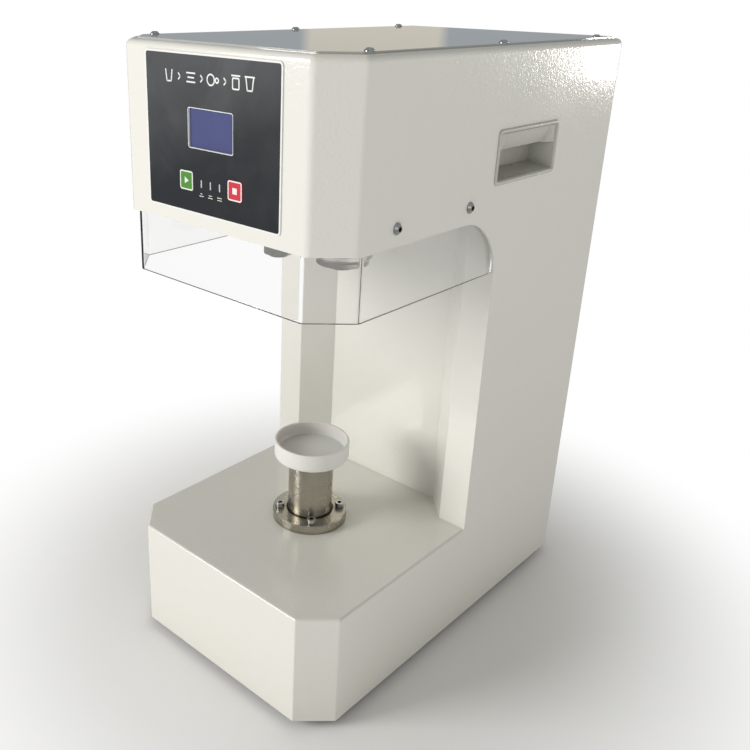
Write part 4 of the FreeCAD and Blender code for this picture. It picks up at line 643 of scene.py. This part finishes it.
def make_roller(side, hub_drop, groove, steel):
    node = side + "_roller"
    centre = tuple(v / MM for v in middle_of(node))
    turned = lathe(roller_section(node, hub_drop, groove), centre, closed=True)
    finish_piece(side + "_seaming_roller", turned, steel, node + "_body", 30, [node])


make_roller("left", 20.0, 1.5, LEFT_ROLLER_STEEL)
make_roller("right", 2.0, 1.0, RIGHT_ROLLER_STEEL)
print("rollers ready")

# %% [markdown]
# ## The lift tube and its flange
# The tube slides through a turned flange, with a thin dark gap between them. The flange keeps its packed
# shape and its screw holes, so only the tube is made again here.

# %% Lift tube
tube_low, tube_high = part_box("lift_tube")
TUBE_Z, TUBE_TOP = tube_low.z / MM, tube_high.z / MM
TUBE_R = half_width("lift_tube")
TUBE_BORE = 15.5
BEARING_BORE = 17.52
BEARING_SHOULDER = TUBE_TOP - 38
tube_section = eased([(TUBE_BORE, TUBE_Z), (TUBE_R, TUBE_Z), (TUBE_R, TUBE_TOP), (BEARING_BORE, TUBE_TOP),
                      (BEARING_BORE, BEARING_SHOULDER), (TUBE_BORE, BEARING_SHOULDER)], 0.4, 3)
finish_piece("turned_lift_tube", lathe(tube_section, (AX, AY), 160, closed=True), TUBE_STEEL, "lift",
             30, ["lift_tube"])
print("lift tube radius", round(TUBE_R, 2), "mm")

# %% [markdown]
# ## Printed marks
# The control panel is a printed film. Its ink is a very thin raised layer, as silk screen leaves it, so each
# mark is a shallow solid on the film: a rounded frame round the edge, a strip of plain pictograms that shows
# the job in order, and small marks under the lamps. There are no words.

# %% Ink helpers
FILM = overlay_low.y / MM
INK = 0.06
INK_SINK = 0.01
FILM_CORNER = 3.5
PANEL_TOP = overlay_high.z / MM
PANEL_LOW = overlay_low.z / MM
PANEL_HALF = (overlay_high.x - overlay_low.x) / 2 / MM


def ink_bar(shape, x, z, width, height, angle=0.0, y=FILM):
    """Thin upright block, turned in its own plane by an angle in degrees."""
    place = (Matrix.Translation((x, y - INK / 2, z)) @ Matrix.Rotation(math.radians(angle), 4, "Y")
             @ Matrix.Diagonal((width, INK + 2 * INK_SINK, height, 1)))
    bmesh.ops.create_cube(shape, size=1, matrix=place)


def ink_ring(shape, x, z, radius, line, y=FILM, steps=40):
    inner = radius - line
    back = y + INK_SINK
    section = ((radius, back), (radius, y - INK), (inner, y - INK), (inner, back))
    corners = [shape.verts.new((x + r, at, z)) for r, at in section]
    edges = [shape.edges.new((corners[i], corners[(i + 1) % 4])) for i in range(4)]
    bmesh.ops.spin(shape, geom=corners + edges, cent=(x, y, z), axis=(0, 1, 0), dvec=(0, 0, 0),
                   angle=math.tau, steps=steps, use_merge=True, use_duplicate=False)


def rounded_frame(shape, x, z, width, height, corner, line, y_front, y_back):
    """Rounded frame: a plate with bevelled corners is inset, opened and given its thickness."""
    others = set(shape.faces)
    place = (Matrix.Translation((x, y_front, z)) @ Matrix.Rotation(math.radians(90), 4, "X")
             @ Matrix.Diagonal((width, height, 1, 1)))
    made = bmesh.ops.create_grid(shape, x_segments=1, y_segments=1, size=0.5, matrix=place)
    bmesh.ops.bevel(shape, geom=made["verts"], offset=corner, segments=8, profile=0.5, affect="VERTICES",
                    material=-1)
    plate = [face for face in shape.faces if face not in others]
    ring = bmesh.ops.inset_region(shape, faces=plate, thickness=line, use_boundary=True,
                                  use_even_offset=True)["faces"]
    bmesh.ops.delete(shape, geom=plate, context="FACES")
    pushed = bmesh.ops.extrude_face_region(shape, geom=ring, use_keep_orig=True)
    moved = [part for part in pushed["geom"] if isinstance(part, bmesh.types.BMVert)]
    bmesh.ops.translate(shape, vec=(0, y_back - y_front, 0), verts=moved)


def ink_frame(shape, x, z, width, height, corner, line, y=FILM):
    rounded_frame(shape, x, z, width, height, corner, line, y - INK, y + INK_SINK)


def print_on_film(name, shape):
    finish_piece(name, shape, WHITE_INK, "machine", 30)


WHITE_INK = grained_plastic("white_ink", (0.80, 0.80, 0.78), 0.45)

# %% [markdown]
# The film has a pale border that wraps over its cut edge, so it is a hair wider than the film itself.

# %% Border of the film
BORDER = 1.4
WRAP = 0.1
outline = bmesh.new()
rounded_frame(outline, 0, (PANEL_TOP + PANEL_LOW) / 2, 2 * PANEL_HALF + WRAP, PANEL_TOP - PANEL_LOW + WRAP,
              FILM_CORNER, BORDER, FILM - INK, overlay_high.y / MM - 0.02)
print_on_film("panel_outline_ink", outline)
print("film", round(2 * PANEL_HALF, 1), "x", round(PANEL_TOP - PANEL_LOW, 1), "mm")

# %% [markdown]
# The strip of pictograms reads from left to right: an open cup, a lid, a turning roller and a closed can,
# with arrowheads between them. Each is made of bars and rings no wider than a pen stroke.

# %% Pictogram strip
STROKE = 1.1
STRIP_Z = PANEL_TOP - 17.5


def cup_mark(shape, x, z, lid):
    ink_bar(shape, x - 3.1, z, STROKE, 9.0, -9)
    ink_bar(shape, x + 3.1, z, STROKE, 9.0, 9)
    ink_bar(shape, x, z - 4.2, 5.4, STROKE)
    if lid:
        ink_bar(shape, x, z + 5.0, 10.0, STROKE)


def arrow_mark(shape, x, z):
    ink_bar(shape, x, z + 1.1, STROKE, 4.0, -45)
    ink_bar(shape, x, z - 1.1, STROKE, 4.0, 45)


def roller_mark(shape, x, z):
    ink_ring(shape, x - 2.2, z, 4.4, STROKE)
    ink_ring(shape, x + 4.4, z, 2.2, STROKE)


def can_mark(shape, x, z):
    ink_frame(shape, x, z - 0.6, 7.6, 8.6, 1.4, STROKE)
    ink_bar(shape, x, z + 4.9, 9.0, STROKE)


strip = bmesh.new()
cup_mark(strip, -45, STRIP_Z, False)
arrow_mark(strip, -33, STRIP_Z)
for rise, width in ((3.2, 10.0), (0, 7.2), (-3.2, 10.0)):
    ink_bar(strip, -20, STRIP_Z + rise, width, STROKE)
arrow_mark(strip, -8, STRIP_Z)
roller_mark(strip, 4, STRIP_Z)
arrow_mark(strip, 17, STRIP_Z)
can_mark(strip, 28, STRIP_Z)
cup_mark(strip, 42, STRIP_Z, True)
print_on_film("pictogram_ink", strip)
print("pictogram strip at", round(STRIP_Z, 1), "mm")

# %% [markdown]
# Under each lamp stand two bars. The upper one grows from lamp to lamp.

# %% Lamp marks
LAMP_MARK_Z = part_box("indicator_lamps")[0].z / MM - 5.5
marks = bmesh.new()
for step, width in ((-1, 2.2), (0, 3.6), (1, 5.0)):
    x = step * LAMP_PITCH / MM
    ink_bar(marks, x, LAMP_MARK_Z + 0.9, width, 0.5)
    ink_bar(marks, x, LAMP_MARK_Z - 0.9, 5.0, 0.5)
print_on_film("lamp_mark_ink", marks)
print("lamp marks at", round(LAMP_MARK_Z, 1), "mm")

# %% [markdown]
# ## The display
# A small liquid-crystal display stands behind a window cut through the film and the sheet. It is set back, so
# the cut edge of the sheet frames it. It is off, and shows the blue of its polariser under a clear lens.

# %% Display
display_low, display_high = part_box("display_module")
overlay_back = overlay_high.y / MM
DISPLAY_FRONT = overlay_back + 1.2
SIDE_MARGIN = 6.1
EDGE_MARGIN = 5.1
SHEET_STEEL = 2.0
GASKET = 0.6
GASKET_CORNER = 2.2
GASKET_BEHIND_FILM = 0.25
GASKET_SINK = 0.05


def block(shape, low, high, rounding):
    """Closed block between two corners, with all of its edges rounded."""
    middle = (Vector(low) + Vector(high)) / 2
    size = Vector(high) - Vector(low)
    made = bmesh.ops.create_cube(shape, size=1,
                                 matrix=Matrix.Translation(middle) @ Matrix.Diagonal((*size, 1)))
    edges = list({edge for vert in made["verts"] for edge in vert.link_edges})
    bmesh.ops.bevel(shape, geom=edges, offset=rounding, segments=2, profile=0.5, affect="EDGES", material=-1)


def display_block():
    shape = bmesh.new()
    low, high = display_low / MM, display_high / MM
    panel_back = overlay_back + SHEET_STEEL
    block(shape, (low.x, panel_back, low.z), tuple(high), 0.4)
    frame_faces = set(shape.faces)
    block(shape, (low.x + SIDE_MARGIN, DISPLAY_FRONT, low.z + EDGE_MARGIN),
          (high.x - SIDE_MARGIN, panel_back, high.z - EDGE_MARGIN), 0.3)
    for face in shape.faces:
        if face not in frame_faces:
            face.material_index = 1
    lens_faces = set(shape.faces)
    rounded_frame(shape, (low.x + high.x) / 2, (low.z + high.z) / 2, high.x - low.x - 2 * SIDE_MARGIN,
                  high.z - low.z - 2 * EDGE_MARGIN, GASKET_CORNER, GASKET, FILM + GASKET_BEHIND_FILM,
                  DISPLAY_FRONT + GASKET_SINK)
    for face in shape.faces:
        if face not in lens_faces:
            face.material_index = 2
    return shape


LCD_GLASS = new_material("lcd_polariser", (0.070, 0.082, 0.205), 0.45, Specular_IOR_Level=0.12)
lcd_rows = use_group(LCD_GLASS, FINE_GRAIN, Scale=1800.0)
lcd_smudges = use_group(LCD_GLASS, SMUDGES, Scale=70.0, Amount=0.10)
add_bump(LCD_GLASS, lcd_rows.outputs["Height"], 0.2, 0.00001)
vary_roughness(LCD_GLASS, lcd_smudges.outputs["Mask"])
mix_colour(LCD_GLASS, lcd_smudges.outputs["Mask"], (0.15, 0.165, 0.29))
display = finish_piece("recessed_display", display_block(), BLACK_PLASTIC, "machine", 30,
                       ["display_module"])
display.data.materials.append(LCD_GLASS)
display.data.materials.append(WHITE_INK)
print("display ready")

# %% [markdown]
# ## The keys
# The start key is green and the stop key red, each a moulded cap with a printed border and one plain symbol:
# a triangle to start and a square to stop. The print rides on the key, so it goes in with it when pressed.

# %% Key prints
KEY_SIDE = 15.4
KEY_GREEN = grained_plastic("green_key", (0.060, 0.255, 0.020), 0.38)
KEY_RED = grained_plastic("red_key", (0.60, 0.014, 0.040), 0.38)
paint(nodes["start_key"], KEY_GREEN)
paint(nodes["stop_key"], KEY_RED)


def key_print(node, symbol):
    low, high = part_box(node)
    face = low.y / MM
    x = (low.x + high.x) / 2 / MM
    z = (low.z + high.z) / 2 / MM
    shape = bmesh.new()
    ink_frame(shape, x, z, KEY_SIDE - 0.5, KEY_SIDE - 0.5, 1.9, 1.0, face)
    symbol(shape, x, z, face)
    return shape


def start_symbol(shape, x, z, face):
    place = (Matrix.Translation((x - 0.4, face - INK / 2, z)) @ Matrix.Rotation(math.radians(90), 4, "X"))
    bmesh.ops.create_cone(shape, cap_ends=True, segments=3, radius1=3.0, radius2=3.0,
                          depth=INK + 2 * INK_SINK, matrix=place @ Matrix.Rotation(math.radians(-90), 4, "Z"))


def stop_symbol(shape, x, z, face):
    ink_bar(shape, x, z, 4.6, 4.6, 0, face)


KEY_INK = grained_plastic("key_ink", (0.80, 0.80, 0.78), 0.45)
finish_piece("start_key_ink", key_print("start_key", start_symbol), KEY_INK, "start_key_body",
             30)
finish_piece("stop_key_ink", key_print("stop_key", stop_symbol), KEY_INK, "stop_key_body", 30)
print("keys printed")

# %% [markdown]
# ## The printed film
# The film is dark slate with a fine satin grain. Its gloss drifts slightly where fingers have wiped it.
# Towards its upper left its colour is painted lighter, a painted reflection of the sky, lighter still in
# patches there.

# %% Film
FILM_FINISH = grained_plastic("slate_film", (0.014, 0.017, 0.021), 0.34, 0.00004, Specular_IOR_Level=0.32)
film_reflection_patches = use_group(FILM_FINISH, SMUDGES, Scale=16.0, Amount=0.8)
PAINTED_SHEEN_DROP = 0.075
film_painted_sheen = use_group(FILM_FINISH, PAINTED_SHEEN, From_Z=overlay_high.z - PAINTED_SHEEN_DROP, To_Z=overlay_high.z)
# Painted reflection: a lighter slate towards the upper left, and lighter patches within it.
mix_colour(FILM_FINISH, film_painted_sheen.outputs["Mask"], (0.050, 0.055, 0.060))
mix_colour(FILM_FINISH, math_node(FILM_FINISH.node_tree, "MULTIPLY", film_reflection_patches.outputs["Mask"],
                                  film_painted_sheen.outputs["Mask"]), (0.085, 0.090, 0.095))
paint(nodes["control_overlay"], FILM_FINISH)
print("film painted")

# %% [markdown]
# ## The cast handles
# Each side carries a recessed handle, cast and painted: a rounded rim stands on the panel, a hood slopes in
# under its top edge for the fingers to hook behind, and a scooped pocket opens below it. It is drawn flat
# first, as length and height with depth outwards, and then stood against the side of the casing.

# %% The rim
HANDLE_CORNER = 4.5
RIM_STEPS = ((0.35, 0.55), (0.6, 0.4), (0.6, 0.15), (0.8, 0.0), (0.5, -0.25), (0.4, -0.6), (0.3, -0.3),
             (0.3, -0.4), (0.3, 0.0))
RIM_FOOT = 0.4
BODY_INSET = 4.1
BODY_DEPTH = 22.0
HOOD_EDGE = 3.5
HOOD_END = 36.0
HOOD_DEPTH = 8.0
HOOD_ROUND = 0.9
POCKET_DEPTH = 20.0
POCKET_LENGTH_SHARE = 0.84
POCKET_LOW = -14.0
POCKET_HIGH = 12.0
SCOOP = 7.0


def push_face(shape, face, depth):
    """Extrudes one face and moves it along Z; returns the moved face."""
    pushed = bmesh.ops.extrude_face_region(shape, geom=[face])["geom"]
    bmesh.ops.delete(shape, geom=[face], context="FACES_ONLY")
    moved = [part for part in pushed if isinstance(part, bmesh.types.BMVert)]
    bmesh.ops.translate(shape, vec=(0, 0, depth), verts=moved)
    return next(part for part in pushed if isinstance(part, bmesh.types.BMFace))


def handle_rim(shape, length, height):
    """Closed casting with a rounded rim; returns the flat face inside the rim."""
    made = bmesh.ops.create_grid(shape, x_segments=1, y_segments=1, size=0.5,
                                 matrix=Matrix.Diagonal((length, height, 1, 1)))
    bmesh.ops.bevel(shape, geom=made["verts"], offset=HANDLE_CORNER, segments=8, profile=0.5,
                    affect="VERTICES", material=-1)
    plate = list(shape.faces)
    front_face = bmesh.ops.extrude_face_region(shape, geom=plate, use_keep_orig=True)["geom"]
    moved = [part for part in front_face if isinstance(part, bmesh.types.BMVert)]
    bmesh.ops.translate(shape, vec=(0, 0, RIM_FOOT), verts=moved)
    bmesh.ops.recalc_face_normals(shape, faces=shape.faces)
    back = min(shape.faces, key=lambda face: face.calc_center_median().z)
    bmesh.ops.inset_region(shape, faces=[back], thickness=BODY_INSET, use_even_offset=True)
    push_face(shape, back, -BODY_DEPTH)
    plate = max(shape.faces, key=lambda face: face.calc_center_median().z)
    for thickness, rise in RIM_STEPS:
        bmesh.ops.inset_region(shape, faces=[plate], thickness=thickness, depth=rise, use_even_offset=True)
    return plate


# %% [markdown]
# Inside the rim the plate is cut in two. The upper part slopes inwards as the hood, and the lower part is
# pushed back to the scooped floor of the pocket.

# %% Hood and pocket
def cut_face(shape, faces, point, normal):
    parts = set(faces)
    for face in faces:
        parts.update(face.edges)
        parts.update(face.verts)
    bmesh.ops.bisect_plane(shape, geom=list(parts), dist=0.001, plane_co=point, plane_no=normal)


def handle_shape(length, height):
    shape = bmesh.new()
    plate = handle_rim(shape, length, height)
    level = plate.calc_center_median().z
    inside = Vector([max(vert.co[i] for vert in plate.verts) + 0.01 for i in (0, 1)])

    def inner_faces(low, high):
        return [face for face in shape.faces
                if all(abs(vert.co.z - level) < 0.01 and abs(vert.co.x) < inside.x
                       and abs(vert.co.y) < inside.y for vert in face.verts)
                and low < face.calc_center_median().y < high]

    cut_face(shape, [plate], (0, HOOD_EDGE, 0), (0, 1, 0))
    for end in (-HOOD_END, HOOD_END):
        cut_face(shape, inner_faces(HOOD_EDGE, height), (end, 0, 0), (1, 0, 0))
    mouth = inner_faces(-height, HOOD_EDGE)[0]
    low_edge = min(vert.co.y for vert in mouth.verts)
    hooked = [vert for vert in mouth.verts
              if abs(vert.co.y - HOOD_EDGE) < 0.01 and abs(vert.co.x) < HOOD_END + 0.01]
    bmesh.ops.translate(shape, vec=(0, 0, -HOOD_DEPTH), verts=hooked)
    hood_edges = [edge for edge in shape.edges if all(vert in hooked for vert in edge.verts)]
    floor = push_face(shape, mouth, 0)
    climb = (POCKET_HIGH - POCKET_LOW) / (HOOD_EDGE - low_edge)
    for vert in floor.verts:
        vert.co = Vector((vert.co.x * POCKET_LENGTH_SHARE, POCKET_LOW + (vert.co.y - low_edge) * climb,
                          level - POCKET_DEPTH))
    bmesh.ops.bevel(shape, geom=list(floor.edges), offset=SCOOP, segments=7, profile=0.5, affect="EDGES",
                    clamp_overlap=True, material=-1)
    bmesh.ops.bevel(shape, geom=[edge for edge in hood_edges if edge.is_valid], offset=HOOD_ROUND,
                    segments=3, profile=0.5, affect="EDGES", clamp_overlap=True, material=-1)
    bmesh.ops.triangulate(shape, faces=[face for face in shape.faces if len(face.verts) > 4])
    return shape


# %% [markdown]
# The finished casting is stood on the casing's side, the left one facing the other way.

# %% Both handles
def cast_handle(node, side):
    low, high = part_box(node)
    middle = (low + high) / 2 / MM
    proud = RIM_FOOT + sum(rise for _, rise in RIM_STEPS if rise > 0)
    on_panel = (high.x if side > 0 else low.x) / MM - side * proud
    shape = handle_shape((high.y - low.y) / MM, (high.z - low.z) / MM)
    for vert in shape.verts:
        along, up, out = vert.co
        vert.co = Vector((on_panel + side * out, middle.y + along, middle.z + up))
    finish_piece("cast_" + node, shape, HANDLE_PAINT, "machine", 38, [node])


cast_handle("right_handle", 1)
cast_handle("left_handle", -1)
print("handles ready")

# %% [markdown]
# ## The studio
# The floor is pale and plain. Close to the machine it takes its shadow; further out it turns into an even
# white, the way a paper sweep does under its own lamps, so no horizon shows behind the machine.

# %% Rays that come off a mirror
def mirrored_ray(tree):
    """1 for a ray that polish or gloss sends back, and 0 for one that goes on through the clear guard."""
    rays = tree.nodes.new("ShaderNodeLightPath")
    glossy = rays.outputs["Is Glossy Ray"]
    through = rays.outputs["Is Transmission Ray"]
    return math_node(tree, "MAXIMUM", math_node(tree, "SUBTRACT", glossy, through), 0.0)


print("ray helper ready")

# %% [markdown]
# The floor glows evenly from a little way out. What the machine mirrors of it is dimmer.

# %% Floor
GLOW_START = 0.18
GLOW_FULL = 0.52
MIRROR_DIMMING = 0.7


def studio_floor():
    mesh = bpy.data.meshes.new("studio_floor")
    shape = bmesh.new()
    bmesh.ops.create_grid(shape, x_segments=1, y_segments=1, size=6)
    shape.to_mesh(mesh)
    shape.free()
    floor = bpy.data.objects.new("studio_floor", mesh)
    bpy.context.scene.collection.objects.link(floor)
    plain = new_material("pale_floor", (0.93, 0.93, 0.93), 0.9)
    tree = plain.node_tree
    distance = tree.nodes.new("ShaderNodeVectorMath")
    distance.operation = "LENGTH"
    tree.links.new(place_of(tree), distance.inputs[0])
    sweep = tree.nodes.new("ShaderNodeMapRange")
    sweep.interpolation_type = "SMOOTHSTEP"
    sweep.inputs["From Min"].default_value = GLOW_START
    sweep.inputs["From Max"].default_value = GLOW_FULL
    tree.links.new(distance.outputs["Value"], sweep.inputs["Value"])
    mix_colour(plain, sweep.outputs[0], (0, 0, 0))
    dimmer = math_node(tree, "MULTIPLY", mirrored_ray(tree), MIRROR_DIMMING)
    glow = math_node(tree, "MULTIPLY", sweep.outputs[0], math_node(tree, "SUBTRACT", 1.0, dimmer))
    lamp = shader_of(plain).inputs["Emission Color"]
    join = tree.nodes.new("ShaderNodeCombineXYZ")
    for label in "XYZ":
        tree.links.new(glow, join.inputs[label])
    tree.links.new(join.outputs[0], lamp)
    shader_of(plain).inputs["Emission Strength"].default_value = 1.0
    shader_of(plain).inputs["Specular IOR Level"].default_value = 0.0
    paint(floor, plain)


studio_floor()
print("floor laid")


# %% [markdown]
# The key light is a large softbox low in front, on the operator's left: it lights the front fully and leaves
# the side at six tenths. A small window behind the machine strikes the side panel at a low angle, which is
# what makes orange peel sparkle.

# %% Lights
def soft_light(name, place, target, width, height, power, colour):
    data = bpy.data.lights.new(name, "AREA")
    data.shape = "RECTANGLE"
    data.size = width
    data.size_y = height
    data.energy = power
    data.color = colour
    light = bpy.data.objects.new(name, data)
    bpy.context.scene.collection.objects.link(light)
    aim = (Vector(target) - Vector(place)).to_track_quat("-Z", "Y")
    light.matrix_world = Matrix.Translation(place) @ aim.to_matrix().to_4x4()


MIDDLE = (0, 0, 0.32)
SIDE_TARGET = (0.12, 0.2, 0.52)
soft_light("key_light", (-1.2, -2.1, 1.0), MIDDLE, width=1.0, height=1.0, power=37,
           colour=(1.0, 0.985, 0.965))
soft_light("side_fill", (2.4, -0.9, 0.9), MIDDLE, width=1.4, height=1.4, power=3,
           colour=(1.0, 0.985, 0.88))
soft_light("rear_window", (0.75, 1.62, 0.50), SIDE_TARGET, width=0.12, height=0.20, power=1.8,
           colour=(1.0, 0.97, 0.92))
print("three lights")


# %% [markdown]
# What polished metal and gloss paint show is the room. So the world has two faces: an even soft white for
# light, and for reflections a dimmer room with a beige wall straight behind and blue-grey walls beside it.

# %% World
ROOM_TURN = math.radians(5.4)
ROOM_ASIDE = Matrix.Rotation(-ROOM_TURN, 3, "Z") @ Vector((LOOK.y, -LOOK.x, 0)).normalized()
WALL_HALF = math.sin(math.radians(4.2))
WALL_BLUR = 0.006


def studio_world():
    world = bpy.data.worlds.new("studio_world")
    world.use_nodes = True
    tree = world.node_tree
    ambient = tree.nodes["Background"]
    ambient.inputs["Color"].default_value = (1.0, 0.99, 0.93, 1)
    ambient.inputs["Strength"].default_value = 0.36
    aside = tree.nodes.new("ShaderNodeVectorMath")
    aside.operation = "DOT_PRODUCT"
    aside.inputs[1].default_value = ROOM_ASIDE
    tree.links.new(tree.nodes.new("ShaderNodeTexCoord").outputs["Generated"], aside.inputs[0])
    wall = tree.nodes.new("ShaderNodeMapRange")
    wall.inputs["From Min"].default_value = WALL_HALF + WALL_BLUR
    wall.inputs["From Max"].default_value = WALL_HALF - WALL_BLUR
    tree.links.new(math_node(tree, "ABSOLUTE", aside.outputs["Value"]), wall.inputs["Value"])
    colours = tree.nodes.new("ShaderNodeMix")
    colours.data_type = "RGBA"
    colours.inputs[6].default_value = (0.33, 0.36, 0.385, 1)
    colours.inputs[7].default_value = (0.62, 0.58, 0.50, 1)
    tree.links.new(wall.outputs[0], colours.inputs[0])
    room = tree.nodes.new("ShaderNodeBackground")
    tree.links.new(colours.outputs[2], room.inputs["Color"])
    backdrop = tree.nodes.new("ShaderNodeBackground")
    backdrop.inputs["Color"].default_value = (1, 1, 1, 1)
    rays = tree.nodes.new("ShaderNodeLightPath")
    for_gloss = tree.nodes.new("ShaderNodeMixShader")
    tree.links.new(mirrored_ray(tree), for_gloss.inputs[0])
    tree.links.new(ambient.outputs[0], for_gloss.inputs[1])
    tree.links.new(room.outputs[0], for_gloss.inputs[2])
    for_camera = tree.nodes.new("ShaderNodeMixShader")
    tree.links.new(rays.outputs["Is Camera Ray"], for_camera.inputs[0])
    tree.links.new(for_gloss.outputs[0], for_camera.inputs[1])
    tree.links.new(backdrop.outputs[0], for_camera.inputs[2])
    tree.links.new(for_camera.outputs[0], tree.nodes["World Output"].inputs["Surface"])
    return world


bpy.context.scene.world = studio_world()
bpy.context.scene.view_settings.view_transform = "Standard"
print("world ready")
